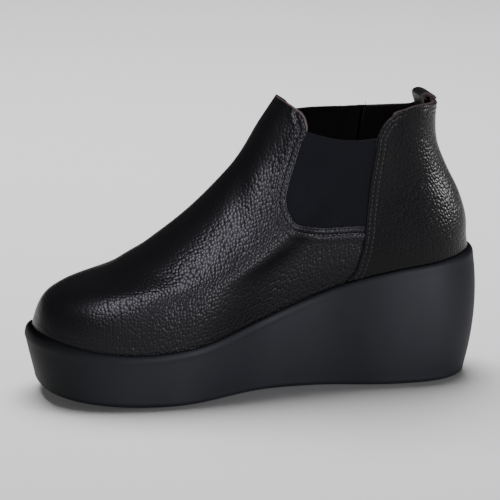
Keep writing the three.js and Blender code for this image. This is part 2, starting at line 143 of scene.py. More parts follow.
def ease(x: np.ndarray) -> np.ndarray:
    """Blend from 0 to 1 with no corner at either end."""
    s = np.clip(x, 0, 1)
    return s**3 * (s * (s * 6 - 15) + 10)


def bell(x: np.ndarray, at: float, width: np.ndarray | float) -> np.ndarray:
    """Soft hump of height 1 at one place."""
    return np.exp(-(((x - at) / width) ** 2))


def lengths_along(points: np.ndarray, axis: int) -> np.ndarray:
    """Lengths from the first point, summed along one axis."""
    steps = np.linalg.norm(np.diff(points, axis=axis), axis=-1)
    return np.insert(np.cumsum(steps, axis=axis), 0, 0, axis=axis)


def read_net(net: np.ndarray, first: np.ndarray, second: np.ndarray) -> np.ndarray:
    """Reads a net of values between its nodes.

    Args:
        net: the values.
        first: shares along its first axis.
        second: shares along its second axis.

    Returns:
        One value for each pair of shares.
    """
    i, j = (np.clip(share, 0, 1) * (count - 1) for share, count in zip((first, second), net.shape))
    i0, j0 = (np.minimum(at.astype(int), count - 2) for at, count in zip((i, j), net.shape))
    a, b = i - i0, j - j0
    low = net[i0, j0] * (1 - b) + net[i0, j0 + 1] * b
    high = net[i0 + 1, j0] * (1 - b) + net[i0 + 1, j0 + 1] * b
    return low * (1 - a) + high * a


# Sections of the boot: t, backX, backZ, frontX, frontZ, heelIn, waistIn, ballIn, heelOut, waistOut,
# ballOut, heelAt, waistAt, ballAt, backRound, toeRound
SECTIONS = np.array([
    [0.0, 0.002, 0.0, 1.0, 0.0, 0.7, 0.52, 0.97, 0.7, 0.84, 1.02, 0.135, 0.42, 0.72, 2.2, 2.3],
    [0.08, 0.006, 0.085, 0.982, 0.109, 0.72, 0.57, 0.99, 0.72, 0.86, 1.03, 0.135, 0.42, 0.71, 2.2, 2.3],
    [0.2, 0.008, 0.212, 0.938, 0.195, 0.71, 0.6, 0.95, 0.71, 0.84, 0.98, 0.14, 0.42, 0.69, 2.2, 2.25],
    [0.35, 0.025, 0.382, 0.816, 0.276, 0.66, 0.62, 0.85, 0.66, 0.78, 0.87, 0.15, 0.41, 0.64, 2.2, 2.2],
    [0.5, 0.053, 0.551, 0.66, 0.456, 0.6, 0.62, 0.72, 0.6, 0.7, 0.74, 0.17, 0.4, 0.58, 2.2, 2.2],
    [0.65, 0.076, 0.721, 0.544, 0.657, 0.58, 0.62, 0.63, 0.58, 0.65, 0.64, 0.2, 0.4, 0.53, 2.2, 2.2],
    [0.82, 0.081, 0.89, 0.473, 0.853, 0.57, 0.61, 0.59, 0.57, 0.61, 0.59, 0.26, 0.42, 0.52, 2.2, 2.2],
    [1.0, 0.074, 1.081, 0.393, 1.072, 0.57, 0.61, 0.57, 0.57, 0.61, 0.57, 0.3, 0.43, 0.52, 2.2, 2.2],
])
FLOOR_OUTLINE = np.array(
    [0, 0.002, 0, 0.993, 0, 0.7, 0.49, 0.98, 0.7, 0.72, 0.98, 0.15, 0.42, 0.76, 2.3, 2.6]
)
# Rise of the feather edge from the ball to the seat, at even shares of the length
BOTTOM_RISE = np.array([1.0, 0.912, 0.829, 0.687, 0.481, 0.271, 0.127, 0.03, 0.0, 0.055, 0.19])


@dataclass(frozen=True)
class Last:
    """Form that the boot is made on, in millimetres.

    Places on it are t, up from the feather edge, and v, round the foot from the middle of the heel.
    """

    length: float = 247.0
    ball_width: float = 92.0
    seat: float = 72.5
    platform: float = 30.0
    back: float = 83.0
    front: float = 130.0
    outer_waist_back: float = 0.02
    outer_ball_back: float = 0.06
    nudge: float = 0.02
    origin: tuple[float, float, float] = (-122.8185, 1.146, 0.0)

    def feather(self, x: np.ndarray) -> np.ndarray:
        """Measures the height of the feather edge above the floor.

        Args:
            x: points along the last, in millimetres.

        Returns:
            Heights in millimetres.
        """
        nodes = np.linspace(0, 1, len(BOTTOM_RISE))
        rise = smooth_table(nodes, BOTTOM_RISE[:, None], np.asarray(x, float) / self.length)[..., 0]
        return self.platform + (self.seat - self.platform) * rise

    def half_width(self, row: np.ndarray, a: np.ndarray, inner: np.ndarray) -> np.ndarray:
        """Measures a section's half-width.

        Args:
            row: section columns.
            a: share of the way forward.
            inner: true on the inner side.

        Returns:
            Half-widths in millimetres.
        """
        heel, waist, ball = (np.where(inner, row[..., k], row[..., k + 3]) for k in (5, 6, 7))
        heel_at, back_round, toe_round = row[..., 11], row[..., 14], row[..., 15]
        waist_at = row[..., 12] - np.where(inner, 0, self.outer_waist_back)
        ball_at = row[..., 13] - np.where(inner, 0, self.outer_ball_back)
        rear = heel + (waist - heel) * ease((a - heel_at) / (waist_at - heel_at))
        fore = waist + (ball - waist) * ease((a - waist_at) / (ball_at - waist_at))
        back = np.clip((heel_at - a) / heel_at, 0, 1)
        front = np.clip((a - ball_at) / (1 - ball_at), 0, 1)
        ends = (1 - back**back_round) ** (1 / back_round) * (1 - front**toe_round) ** (1 / toe_round)
        return np.where(a < waist_at, rear, fore) * ends * self.ball_width / 2

    def point(self, t: np.ndarray, v: np.ndarray) -> np.ndarray:
        """Finds points of the outer form.

        Args:
            t: places up the form.
            v: places round it, below zero on the outer side.

        Returns:
            Points in millimetres of the last.
        """
        t, v = np.broadcast_arrays(np.asarray(t, float), np.asarray(v, float))
        row = smooth_table(SECTIONS[:, 0], SECTIONS, t)
        a = 0.5 - 0.5 * np.cos(v)
        side = np.where(np.sin(v) >= 0, 1, -1)
        toe = self.feather(self.length)
        back_x, front_x = row[..., 1] * self.length, row[..., 3] * self.length
        back_z, front_z = self.seat + row[..., 2] * self.back, toe + row[..., 4] * self.front
        x = back_x + (front_x - back_x) * a
        level = self.seat + (toe - self.seat) * x / self.length
        z = back_z + (front_z - back_z) * a + (self.feather(x) - level) * (1 - row[..., 0]) ** 3
        return np.stack([x, side * self.half_width(row, a, side > 0), z], axis=-1)

    def slopes(self, t: np.ndarray, v: np.ndarray) -> tuple[np.ndarray, np.ndarray]:
        """Measures how the point moves with its place.

        Args:
            t: places up the form.
            v: places round it.

        Returns:
            Moves for a step in t and for a step in v.
        """
        high, low = np.minimum(t + self.nudge, 1), np.maximum(t - self.nudge, 0)
        up = (self.point(high, v) - self.point(low, v)) / (high - low)[..., None]
        along = (self.point(t, v + self.nudge) - self.point(t, v - self.nudge)) / (2 * self.nudge)
        return up, along

    def normal(self, t: np.ndarray, v: np.ndarray) -> np.ndarray:
        """Finds the outward directions of the form.

        Args:
            t: places up the form.
            v: places round it.

        Returns:
            Directions of length 1.
        """
        up, along = self.slopes(np.asarray(t, float), np.asarray(v, float))
        out = np.cross(up, along)
        return out / np.linalg.norm(out, axis=-1, keepdims=True)

    def row_frame(self, points: np.ndarray) -> np.ndarray:
        """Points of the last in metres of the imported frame."""
        return (points + np.array(self.origin)) * MM

    def skin(self, t: np.ndarray, v: np.ndarray, offset: np.ndarray | float = 0.0) -> np.ndarray:
        """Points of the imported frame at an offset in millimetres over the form."""
        lift = np.asarray(offset, float)[..., None] * self.normal(t, v)
        return self.row_frame(self.point(t, v) + lift)

    def rim_loop(self, v: np.ndarray, offset: np.ndarray | float, lift: np.ndarray | float) -> np.ndarray:
        """Moves the feather edge.

        Args:
            v: places round it.
            offset: how far it moves out level, in millimetres.
            lift: how far it moves up, in millimetres.

        Returns:
            Points in millimetres of the last.
        """
        points = self.point(np.zeros_like(v), v)
        out = self.normal(np.zeros_like(v), v) * np.array([1, 1, 0])
        out /= np.linalg.norm(out, axis=-1, keepdims=True)
        moved = points + out * np.broadcast_to(offset, v.shape)[:, None]
        moved[:, 2] = self.feather(points[:, 0]) + lift
        return moved


LAST = Last()


def curve_through(rows: list[tuple[float, float]], steps: int = 16) -> np.ndarray:
    """Runs a smooth line over the form.

    Args:
        rows: t and the share of the way forward of its knots.
        steps: how many parts run from one knot to the next.

    Returns:
        Rows of t and v.
    """
    line = cubic_line(np.array(rows, float), steps)
    return np.stack([line[:, 0], np.arccos(np.clip(1 - 2 * line[:, 1], -1, 1))], axis=-1)


class Path:
    """Line of places on one side of the form, read by its share of length."""

    def __init__(self, places: np.ndarray) -> None:
        """Measures the line.

        Args:
            places: rows of t and v.
        """
        self.places = places
        run = lengths_along(LAST.point(places[:, 0], places[:, 1]), 0)
        self.length = float(run[-1])
        self.run = run / run[-1]

    def at(self, share: np.ndarray) -> np.ndarray:
        """Places at shares of the length."""
        return np.stack([np.interp(share, self.run, self.places[:, k]) for k in (0, 1)], axis=-1)

    def beside(self, distance: float, steps: int = 6) -> "Path":
        """Moves the line over the form.

        Args:
            distance: millimetres, to the left of its run as seen from outside where positive.
            steps: how many small moves make up the whole.

        Returns:
            The moved line.
        """
        t, v = self.places[:, 0].copy(), self.places[:, 1].copy()
        for _ in range(steps):
            run = np.gradient(LAST.point(t, v), axis=0)
            run /= np.maximum(np.linalg.norm(run, axis=1, keepdims=True), 1e-9)
            left = np.cross(LAST.normal(t, v), run)
            up, along = LAST.slopes(t, v)
            uu, aa, ua = ((p * q).sum(1) for p, q in ((up, up), (along, along), (up, along)))
            ul, al = (up * left).sum(1), (along * left).sum(1)
            base = uu * aa - ua**2
            t = np.clip(t + (aa * ul - ua * al) / base * distance / steps, 0, 1)
            v = np.clip(v + (uu * al - ua * ul) / base * distance / steps, 0, math.pi)
        return Path(np.stack([t, v], axis=-1))


# Lines on the form, as rows of t and of the share of the way forward
FRONT_COLLAR = [(0.9, 1.0), (0.898, 0.985), (0.884, 0.926), (0.867, 0.866)]
NOTCH = {
    Side.INNER: [(0.841, 0.821), (0.8, 0.783)],
    Side.OUTER: [(0.845, 0.82), (0.823, 0.792), (0.8, 0.785)],
}
PANEL_EDGE = [
    (0.739, 0.779), (0.651, 0.753), (0.579, 0.716), (0.54, 0.688), (0.496, 0.641),
    (0.45, 0.58), (0.412, 0.51), (0.379, 0.445), (0.353, 0.374), (0.326, 0.298), (0.313, 0.262),
]
PANEL_TOP = {
    Side.INNER: [(0.8, 0.783), (0.766, 0.608), (0.753, 0.493), (0.755, 0.38), (0.757, 0.335)],
    Side.OUTER: [(0.826, 0.786), (0.829, 0.66), (0.829, 0.52), (0.829, 0.38), (0.83, 0.335)],
}
QUARTER_EDGE = [
    (0.012, 0.307), (0.054, 0.287), (0.137, 0.281), (0.204, 0.283), (0.274, 0.29), (0.398, 0.312),
    (0.543, 0.345), (0.7, 0.371),
]
QUARTER_KNEE = {
    Side.INNER: [(0.755, 0.38), (0.795, 0.376), (0.844, 0.358), (0.885, 0.31)],
    Side.OUTER: [(0.755, 0.379), (0.795, 0.384), (0.82, 0.376), (0.829, 0.355)],
}
QUARTER_TOP = {
    Side.INNER: [(0.885, 0.31), (0.904, 0.25), (0.92, 0.2), (0.93, 0.12), (0.932, 0.0)],
    Side.OUTER: [
        (0.829, 0.355), (0.831, 0.29), (0.836, 0.18), (0.852, 0.08), (0.881, 0.035), (0.921, 0.01),
        (0.932, 0.0),
    ],
}


def spread(left: Path, right: Path, top: Path, foot: Path) -> Place:
    """Spreads a patch between four lines.

    Args:
        left: its first side, running down.
        right: its second side, running down.
        top: its top, from left to right.
        foot: its foot, from left to right.

    Returns:
        Function that gives places for shares from the left and down from the top.
    """

    def place(u: np.ndarray, w: np.ndarray) -> np.ndarray:
        """Gives places of the patch.

        Args:
            u: shares from the left.
            w: shares down from the top.

        Returns:
            Rows of t and v.
        """
        across, down = u[:, None], w[:, None]
        corners = (
            (1 - across) * (1 - down) * left.places[0] + across * (1 - down) * right.places[0]
            + (1 - across) * down * left.places[-1] + across * down * right.places[-1]
        )
        sides = (1 - across) * left.at(w) + across * right.at(w)
        return sides + (1 - down) * top.at(u) + down * foot.at(u) - corners

    return place


@dataclass(frozen=True)
class EdgeProfile:
    """Relief of leather beside its edge, in millimetres.

    Rows are sunk stitch rows: their distance from the edge, depth and width. The swell is a height,
    its distance from the edge and its width.
    """

    fold: float
    rows: tuple[tuple[float, float, float], ...]
    swell: tuple[float, float, float]

    def height(self, distance: np.ndarray) -> np.ndarray:
        """Finds the relief.

        Args:
            distance: millimetres from the edge.

        Returns:
            Heights over the plain skin in millimetres.
        """
        short = np.clip(self.fold - distance, 0, self.fold)
        z = -(self.fold - np.sqrt(np.maximum(self.fold**2 - short**2, 0)))
        for at, depth, width in self.rows:
            z = z - depth * bell(distance, at, width)
        lift, at, width = self.swell
        return z + lift * bell(distance, at, width)


@dataclass(frozen=True)
class Fold:
    """Soft fold across the vamp, left by lasting and a few steps, with lengths in millimetres.

    The bend and the slant move it back at the ridge and higher up; middle and reach say where it is
    strongest and how far it runs.
    """

    height: float
    x: float
    width: float
    bend: float
    slant: float
    along: Along
    middle: float
    reach: float

    def height_at(self, x: np.ndarray, t: np.ndarray, v: np.ndarray) -> np.ndarray:
        """Finds the height of the fold.

        Args:
            x: points along the last.
            t: their places up the form.
            v: their places round it, without the sign of the side.

        Returns:
            Heights in millimetres.
        """
        across = bell(x + self.bend * np.cos(v) + self.slant * t, self.x, self.width)
        return self.height * across * bell(t if self.along is Along.UP else v, self.middle, self.reach)


class Bench:
    """Mesh under work, whose vertices remember their places on the form."""

    def __init__(self) -> None:
        """Starts an empty mesh."""
        self.bm = bmesh.new()
        self.t = self.bm.verts.layers.float.new("t")
        self.v = self.bm.verts.layers.float.new("v")
        self.uv = self.bm.loops.layers.uv.new("UVMap")

    def patch(
        self, across: np.ndarray, down: np.ndarray, place: Place, side: Side,
        scale: tuple[float, float] = (1.0, 1.0),
    ) -> None:
        """Adds a grid laid on the form.

        Args:
            across: shares of the grid's columns.
            down: shares of the grid's rows.
            place: gives places for shares across and down.
            side: side of the foot.
            scale: size of the patch in the UV map, in millimetres.
        """
        made = bmesh.ops.create_grid(self.bm, x_segments=len(across) - 1, y_segments=len(down) - 1, size=0.5)
        verts = made["verts"]
        flat = np.array([vert.co[:] for vert in verts])
        u = across[np.rint((flat[:, 0] + 0.5) * (len(across) - 1)).astype(int)]
        w = down[np.rint((flat[:, 1] + 0.5) * (len(down) - 1)).astype(int)]
        shares = {vert: (u[i] * scale[0], w[i] * scale[1]) for i, vert in enumerate(verts)}
        for face in {face for vert in verts for face in vert.link_faces}:
            for loop in face.loops:
                loop[self.uv].uv = shares[loop.vert]
        t, v = (place(u, w) * np.array([1, side.value])).T
        for vert, t_at, v_at, co in zip(verts, t, v, LAST.skin(t, v)):
            vert.co = co
            vert[self.t] = t_at
            vert[self.v] = v_at

    def close(self) -> None:
        """Joins what meets and turns all faces outwards."""
        bmesh.ops.remove_doubles(self.bm, verts=self.bm.verts[:], dist=WELD)
        bmesh.ops.dissolve_degenerate(self.bm, dist=WELD, edges=self.bm.edges[:])
        bmesh.ops.recalc_face_normals(self.bm, faces=self.bm.faces[:])
        faces = self.bm.faces[:]
        t, v = (np.array([face.verts[0][layer] for face in faces]) for layer in (self.t, self.v))
        normals = np.array([face.normal[:] for face in faces])
        if (normals * LAST.normal(t, v)).sum() < 0:
            bmesh.ops.reverse_faces(self.bm, faces=faces)


def as_object(name: str, bm: bmesh.types.BMesh) -> bpy.types.Object:
    """Makes a smooth-shaded object of a mesh under work, and frees it.

    Args:
        name: name of the object.
        bm: the mesh under work.

    Returns:
        The object, in the scene.
    """
    mesh = bpy.data.meshes.new(name)
    bm.to_mesh(mesh)
    bm.free()
    mesh.shade_smooth()
    made = bpy.data.objects.new(name, mesh)
    bpy.context.scene.collection.objects.link(made)
    return made


def dress(obj: bpy.types.Object, *finishes: bpy.types.Material) -> None:
    """Gives a piece its materials, in the order of its slots."""
    for finish in finishes:
        obj.data.materials.append(finish)


def shut(loop: np.ndarray) -> list[np.ndarray]:
    """Loops that close a face from its outline in to its middle line."""
    middle = (loop + np.roll(loop[::-1], 1, axis=0)) / 2
    return [loop + (middle - loop) * share for share in (0.06, 0.25, 0.5, 0.75, 1.0)]


def from_loops(name: str, loops: list[np.ndarray]) -> bpy.types.Object:
    """Skins closed loops, one after another.

    Args:
        name: name of the object.
        loops: their points, in millimetres of the last.

    Returns:
        The object.
    """
    points = np.array([LAST.row_frame(loop) for loop in loops])
    high, around = len(points) - 1, points.shape[1]
    bm = bmesh.new()
    made = bmesh.ops.create_grid(bm, x_segments=around, y_segments=high, size=0.5)
    for vert in made["verts"]:
        vert.co = points[round((vert.co.y + 0.5) * high), round((vert.co.x + 0.5) * around) % around]
    bmesh.ops.remove_doubles(bm, verts=bm.verts[:], dist=20 * WELD)
    bmesh.ops.dissolve_degenerate(bm, dist=WELD, edges=bm.edges[:])
    bmesh.ops.recalc_face_normals(bm, faces=bm.faces[:])
    return as_object(name, bm)


def settle(obj: bpy.types.Object) -> None:
    """Puts the result of the modifiers into the mesh.

    Args:
        obj: the piece.
    """
    graph = bpy.context.evaluated_depsgraph_get()
    mesh = bpy.data.meshes.new_from_object(obj.evaluated_get(graph))
    obj.modifiers.clear()
    old, obj.data = obj.data, mesh
    bpy.data.meshes.remove(old)


def thicken(obj: bpy.types.Object, wall: float) -> None:
    """Gives a skin its wall, on its inner side.

    Args:
        obj: the skin.
        wall: thickness in millimetres.
    """
    solid = obj.modifiers.new("wall", "SOLIDIFY")
    solid.thickness = wall * MM
    solid.offset = -1
    solid.use_even_offset = False
    solid.material_offset = Slot.INSIDE.value
    solid.material_offset_rim = Slot.EDGE.value
    settle(obj)


def round_edges(obj: bpy.types.Object, width: float, angle: float = 40) -> None:
    """Rounds the sharp edges of a piece.

    Args:
        obj: the piece.
        width: width of the rounding in millimetres.
        angle: least angle of a sharp edge, in degrees.
    """
    bevel = obj.modifiers.new("edges", "BEVEL")
    bevel.width = width * MM
    bevel.segments = 2
    bevel.limit_method = "ANGLE"
    bevel.angle_limit = math.radians(angle)
    settle(obj)


def plain_below(obj: bpy.types.Object, height: float) -> None:
    """Gives the cut edges below a height in millimetres the finish of the outside."""
    for face in obj.data.polygons:
        if face.material_index == Slot.EDGE.value and face.center.z < height * MM:
            face.material_index = Slot.OUTSIDE.value


def read_places(mesh: bpy.types.Mesh) -> tuple[np.ndarray, np.ndarray]:
    """Reads the places on the form that a mesh's vertices remember.

    Args:
        mesh: the mesh.

    Returns:
        Their t and their v.
    """
    out = []
    for name in ("t", "v"):
        values = np.zeros(len(mesh.vertices), np.float32)
        mesh.attributes[name].data.foreach_get("value", values)
        out.append(values.astype(float))
    return out[0], out[1]


def set_heights(obj: bpy.types.Object, count: int, height: np.ndarray) -> None:
    """Moves the first vertices of a mesh out.

    Args:
        obj: the piece.
        count: how many of its vertices move.
        height: how far each moves, in millimetres.
    """
    mesh = obj.data
    co = np.zeros(len(mesh.vertices) * 3)
    mesh.vertices.foreach_get("co", co)
    co = co.reshape(-1, 3)
    t, v = read_places(mesh)
    co[:count] += LAST.normal(t[:count], v[:count]) * height[:, None] * MM
    mesh.vertices.foreach_set("co", co.ravel())
    mesh.update()


def edge_distance(points: np.ndarray, lines: list[np.ndarray], samples: int = 6000) -> np.ndarray:
    """Measures from points to the nearest of some lines.

    Args:
        points: the points, in metres.
        lines: points along each line, in metres.
        samples: how many points stand for each line.

    Returns:
        Distances in millimetres.
    """
    dense = []
    for line in lines:
        at, knots = np.linspace(0, len(line) - 1, samples), np.arange(len(line))
        dense += list(np.stack([np.interp(at, knots, line[:, k]) for k in range(3)], axis=1))
    tree = KDTree(len(dense))
    for i, co in enumerate(dense):
        tree.insert(co, i)
    tree.balance()
    return np.array([tree.find(co)[2] for co in points]) / MM


@dataclass(frozen=True)
class SkinMap:
    """Lengths over the form in millimetres, for patterns that follow the leather."""

    rows: int = 140
    columns: int = 220
    cuts: int = 250
    smooth_from: float = 2.25
    smooth_over: float = 0.55

    def round_heel(self, t: np.ndarray, v: np.ndarray, side: Side) -> np.ndarray:
        """Measures round the form from the middle of the heel, and up it.

        Args:
            t: places up the form.
            v: places round it.
            side: side of the foot.

        Returns:
            Rows of two lengths.
        """
        places = np.meshgrid(
            np.linspace(0, 1, self.rows), np.linspace(0, math.pi, self.columns) * side.value, indexing="ij"
        )
        points = LAST.point(*places)
        shares = t, np.abs(v) / math.pi
        round_foot = side.value * read_net(lengths_along(points, 1), *shares)
        return np.column_stack([round_foot, read_net(lengths_along(points, 0), *shares)])

    def over_foot(self, t: np.ndarray, v: np.ndarray, side: Side) -> np.ndarray:
        """Measures along the foot and, in upright cuts across it, up from the feather edge.

        Args:
            t: places up the form.
            v: places round it.
            side: side of the foot.

        Returns:
            Rows of two lengths.
        """
        up = np.linspace(0, 1, self.rows)
        rows = smooth_table(SECTIONS[:, 0], SECTIONS, up)
        back, front = rows[:, 1] * LAST.length, rows[:, 3] * LAST.length
        x = np.linspace(0, LAST.length, self.cuts)
        share = np.clip((x[:, None] - back) / (front - back), 0, 1)
        points = LAST.point(np.broadcast_to(up, share.shape), side.value * np.arccos(1 - 2 * share))
        along = LAST.point(t, v)[:, 0]
        return np.column_stack([along, read_net(lengths_along(points[..., 1:], 1), along / LAST.length, t)])

    def lay(self, obj: bpy.types.Object, along_foot: bool) -> None:
        """Writes the lengths into the UV map, and the grain's fading along the ridge beside it.

        Args:
            obj: piece whose vertices remember their places.
            along_foot: whether lengths run along the foot, or else round it from the middle of the heel.
        """
        t, v = read_places(obj.data)
        measure = self.over_foot if along_foot else self.round_heel
        uv = np.where((v >= 0)[:, None], measure(t, v, Side.INNER), measure(t, v, Side.OUTER))
        grain = obj.data.attributes.new("grain", "FLOAT", "POINT")
        grain.data.foreach_set("value", 1 - ease((np.abs(v) - self.smooth_from) / self.smooth_over))
        corners = np.zeros(len(obj.data.loops), int)
        obj.data.loops.foreach_get("vertex_index", corners)
        obj.data.uv_layers["UVMap"].data.foreach_set("uv", uv[corners].ravel())


@dataclass(frozen=True)
class Stitching:
    """Rows of stitches along lines on the form, in millimetres."""

    thread: bpy.types.Material
    pitch: float = 2.6
    length: float = 2.0
    radius: float = 0.24
    look_ahead: float = 0.2

    def sew(self, name: str, rows: list[tuple[Path, Side]], offset: float) -> bpy.types.Object:
        """Sews rows of stitches.

        Args:
            name: name of the piece.
            rows: the lines and their sides.
            offset: height of the thread's middle over the form, in millimetres.

        Returns:
            One piece with all the stitches.
        """
        bm = bmesh.new()
        for path, side in rows:
            step = self.pitch / path.length
            share = (np.arange(int(path.length / self.pitch)) + 0.5) * step
            t, v = (path.at(share) * np.array([1, side.value])).T
            on = LAST.skin(*(path.at(share + self.look_ahead * step) * np.array([1, side.value])).T, offset)
            for co, ahead, out in zip(LAST.skin(t, v, offset), on, LAST.normal(t, v)):
                run, up = Vector(ahead - co).normalized(), Vector(out)
                across = up.cross(run).normalized()
                axes = Matrix((run * self.length / 2, across * self.radius, up * self.radius))
                frame = Matrix.Translation(co) @ (axes.transposed() * MM).to_4x4()
                bmesh.ops.create_uvsphere(bm, u_segments=6, v_segments=5, radius=1, matrix=frame)
        piece = as_object(name, bm)
        dress(piece, self.thread)
        return piece


@dataclass(frozen=True)
class Grain:
    """Noise that shows as relief: its scale, its depth in millimetres and the share of it that shows."""

    scale: float
    depth: float
    strength: float
    detail: float = 3.0
    harshness: float = 0.5


class Nodes:
    """Node tree of one material, with short ways to add and join nodes.

    Where a method takes a value, it can be a number, a colour or the output socket that feeds it.
    """

    def __init__(self, name: str) -> None:
        """Starts a material with its surface shader.

        Args:
            name: name of the material.
        """
        self.material = bpy.data.materials.new(name)
        self.material.use_nodes = True
        self.tree = self.material.node_tree
        self.shader = self.tree.nodes["Principled BSDF"]

    def add(self, kind: str, inputs: dict[str | int, object], **settings: object) -> bpy.types.Node:
        """Adds a node.

        Args:
            kind: its type.
            inputs: values of its sockets.
            settings: its properties.

        Returns:
            The node.
        """
        node = self.tree.nodes.new(kind)
        for key, value in settings.items():
            setattr(node, key, value)
        for key, value in inputs.items():
            self.feed(node.inputs[key], value)
        return node

    def feed(self, socket: bpy.types.NodeSocket, value: object) -> None:
        """Sets a socket.

        Args:
            socket: the socket.
            value: its value, or the output that it is joined to.
        """
        if isinstance(value, bpy.types.NodeSocket):
            self.tree.links.new(value, socket)
        else:
            socket.default_value = value

    def place(self, scale: tuple[float, float, float] = (1, 1, 1)) -> bpy.types.NodeSocket:
        """Object coordinates, stretched."""
        source = self.add("ShaderNodeTexCoord", {}).outputs["Object"]
        return self.add("ShaderNodeMapping", {"Vector": source, "Scale": scale}).outputs[0]

    def uv(self) -> bpy.types.NodeSocket:
        """The piece's own UV map."""
        return self.add("ShaderNodeUVMap", {}, uv_map="UVMap").outputs["UV"]

    def math(self, operation: str, *values: object) -> bpy.types.NodeSocket:
        """Result of a Math node."""
        return self.add("ShaderNodeMath", dict(enumerate(values)), operation=operation).outputs[0]

    def blend(self, first: object, share: float, second: object, rest: float) -> bpy.types.NodeSocket:
        """Sum of two values, each times its share."""
        return self.math("ADD", self.math("MULTIPLY", first, share), self.math("MULTIPLY", second, rest))

    def noise(
        self, vector: object, scale: float, detail: float = 2.0, rough: float = 0.5
    ) -> bpy.types.NodeSocket:
        """Noise value between 0 and 1."""
        inputs = {"Vector": vector, "Scale": scale, "Detail": detail, "Roughness": rough}
        return self.add("ShaderNodeTexNoise", inputs).outputs["Fac"]

    def grain(self, vector: object, grain: Grain) -> bpy.types.NodeSocket:
        """Noise value of a grain, between 0 and 1."""
        return self.noise(vector, grain.scale, grain.detail, grain.harshness)

    def ramp(self, factor: object, stops: list[tuple[float, Colour]]) -> bpy.types.NodeSocket:
        """Runs a colour ramp.

        Args:
            factor: value that it reads.
            stops: positions and colours, two of them.

        Returns:
            Its colour.
        """
        node = self.add("ShaderNodeValToRGB", {"Fac": factor})
        for element, (position, colour) in zip(node.color_ramp.elements, stops):
            element.position = position
            element.color = (*colour, 1)
        return node.outputs["Color"]

    def span(self, factor: object, low: float, high: float) -> bpy.types.NodeSocket:
        """A 0 to 1 value spread between two numbers."""
        inputs = {"Value": factor, "To Min": low, "To Max": high}
        return self.add("ShaderNodeMapRange", inputs).outputs["Result"]

    def bump(
        self, height: object, depth: float, strength: float, over: object = None
    ) -> bpy.types.NodeSocket:
        """Bumps the surface.

        Args:
            height: height field.
            depth: its full height, in millimetres.
            strength: share of it that shows.
            over: bump that lies under this one.

        Returns:
            The normal.
        """
        inputs = {"Height": height, "Distance": depth * MM, "Strength": strength}
        if over is not None:
            inputs["Normal"] = over
        return self.add("ShaderNodeBump", inputs).outputs["Normal"]

    def surface(self, **inputs: object) -> bpy.types.Material:
        """Feeds the surface shader.

        Args:
            inputs: values of its sockets, named with underscores for spaces.

        Returns:
            The material.
        """
        for key, value in inputs.items():
            self.feed(self.shader.inputs[key.replace("_", " ")], value)
        return self.material


@dataclass(frozen=True)
class PebbledLeather:
    """Black tumbled leather with a pebbled grain and a soft gloss, laid by the piece's own UV map; its base
    colour is darkened in the ditches between the pebbles as painted shade.

    The pebble, its relief and the border's width are in millimetres; the shares say how much of the
    relief the domes and the ditches between them make.
    """

    name: str = "pebbled_leather"
    pebble: float = 1.65
    relief: float = 0.27
    stretch: float = 0.8
    drift: float = 0.35
    wander: float = 0.6
    unevenness: float = 0.72
    softness: float = 0.3
    border: float = 0.16
    doming: float = 1.6
    dome_share: float = 0.94
    ditch_share: float = 0.06
    patches: float = 0.09
    patchiness: tuple[float, float] = (0.6, 1.3)
    broad: Grain = Grain(0.05, 1.4, 0.3)
    fine: Grain = Grain(3600.0, 0.03, 0.5)
    ridge_grain: float = 0.2
    roughness: tuple[float, float] = (0.3, 0.42)
    reflectance: float = 0.16
    # Base colour runs from dark in the ditches between the pebbles to light on their tops; the dark is
    # painted shade in those recesses.
    dark: Colour = (0.0012, 0.0012, 0.0014)
    light: Colour = (0.0042, 0.004, 0.0044)

    def material(self) -> bpy.types.Material:
        """Builds the material.

        Returns:
            The material.
        """
        n = Nodes(self.name)
        place = n.add("ShaderNodeMapping", {"Vector": n.uv(), "Scale": (1.0, self.stretch, 1.0)}).outputs[0]
        drift = n.add("ShaderNodeTexNoise", {"Vector": place, "Scale": self.drift}).outputs["Color"]
        pull = {0: drift, "Scale": self.wander}
        pulled = n.add("ShaderNodeVectorMath", pull, operation="SCALE").outputs[0]
        warped = n.add("ShaderNodeVectorMath", {0: place, 1: pulled}, operation="ADD").outputs[0]
        cells = {"Vector": warped, "Scale": 1 / self.pebble, "Randomness": self.unevenness}
        near = n.add(
            "ShaderNodeTexVoronoi", {**cells, "Smoothness": self.softness}, feature="SMOOTH_F1",
            voronoi_dimensions="2D",
        ).outputs["Distance"]
        border = n.add(
            "ShaderNodeTexVoronoi", cells, feature="DISTANCE_TO_EDGE", voronoi_dimensions="2D"
        ).outputs["Distance"]
        dome = n.math("SUBTRACT", 1.0, n.math("MULTIPLY", n.math("MULTIPLY", near, near), self.doming))
        # The ditch mask shapes the relief and the gloss, and also paints shade into the base colour.
        ditch = n.add(
            "ShaderNodeMapRange", {"Value": border, "From Max": self.border}, interpolation_type="SMOOTHSTEP"
        ).outputs["Result"]
        pebbles = n.blend(dome, self.dome_share, ditch, self.ditch_share)
        grain = n.add("ShaderNodeAttribute", {}, attribute_name="grain").outputs["Fac"]
        height = n.math("MULTIPLY", pebbles, n.span(n.noise(place, self.patches, 3.0), *self.patchiness))
        height = n.math("MULTIPLY", height, n.span(grain, self.ridge_grain, 1.0))
        broad = n.grain(place, self.broad)
        normal = n.bump(broad, self.broad.depth, self.broad.strength)
        normal = n.bump(height, self.relief, 1.0, normal)
        normal = n.bump(n.grain(n.place(), self.fine), self.fine.depth, self.fine.strength, normal)
        gloss = n.math("ADD", n.blend(broad, 0.6, ditch, -0.5), 0.5)
        # Base colour darkens in the ditches between the pebbles: painted shade in the recesses.
        return n.surface(
            Base_Color=n.ramp(ditch, [(0.0, self.dark), (0.9, self.light)]), Normal=normal,
            Roughness=n.span(gloss, *self.roughness), Specular_IOR_Level=self.reflectance,
        )


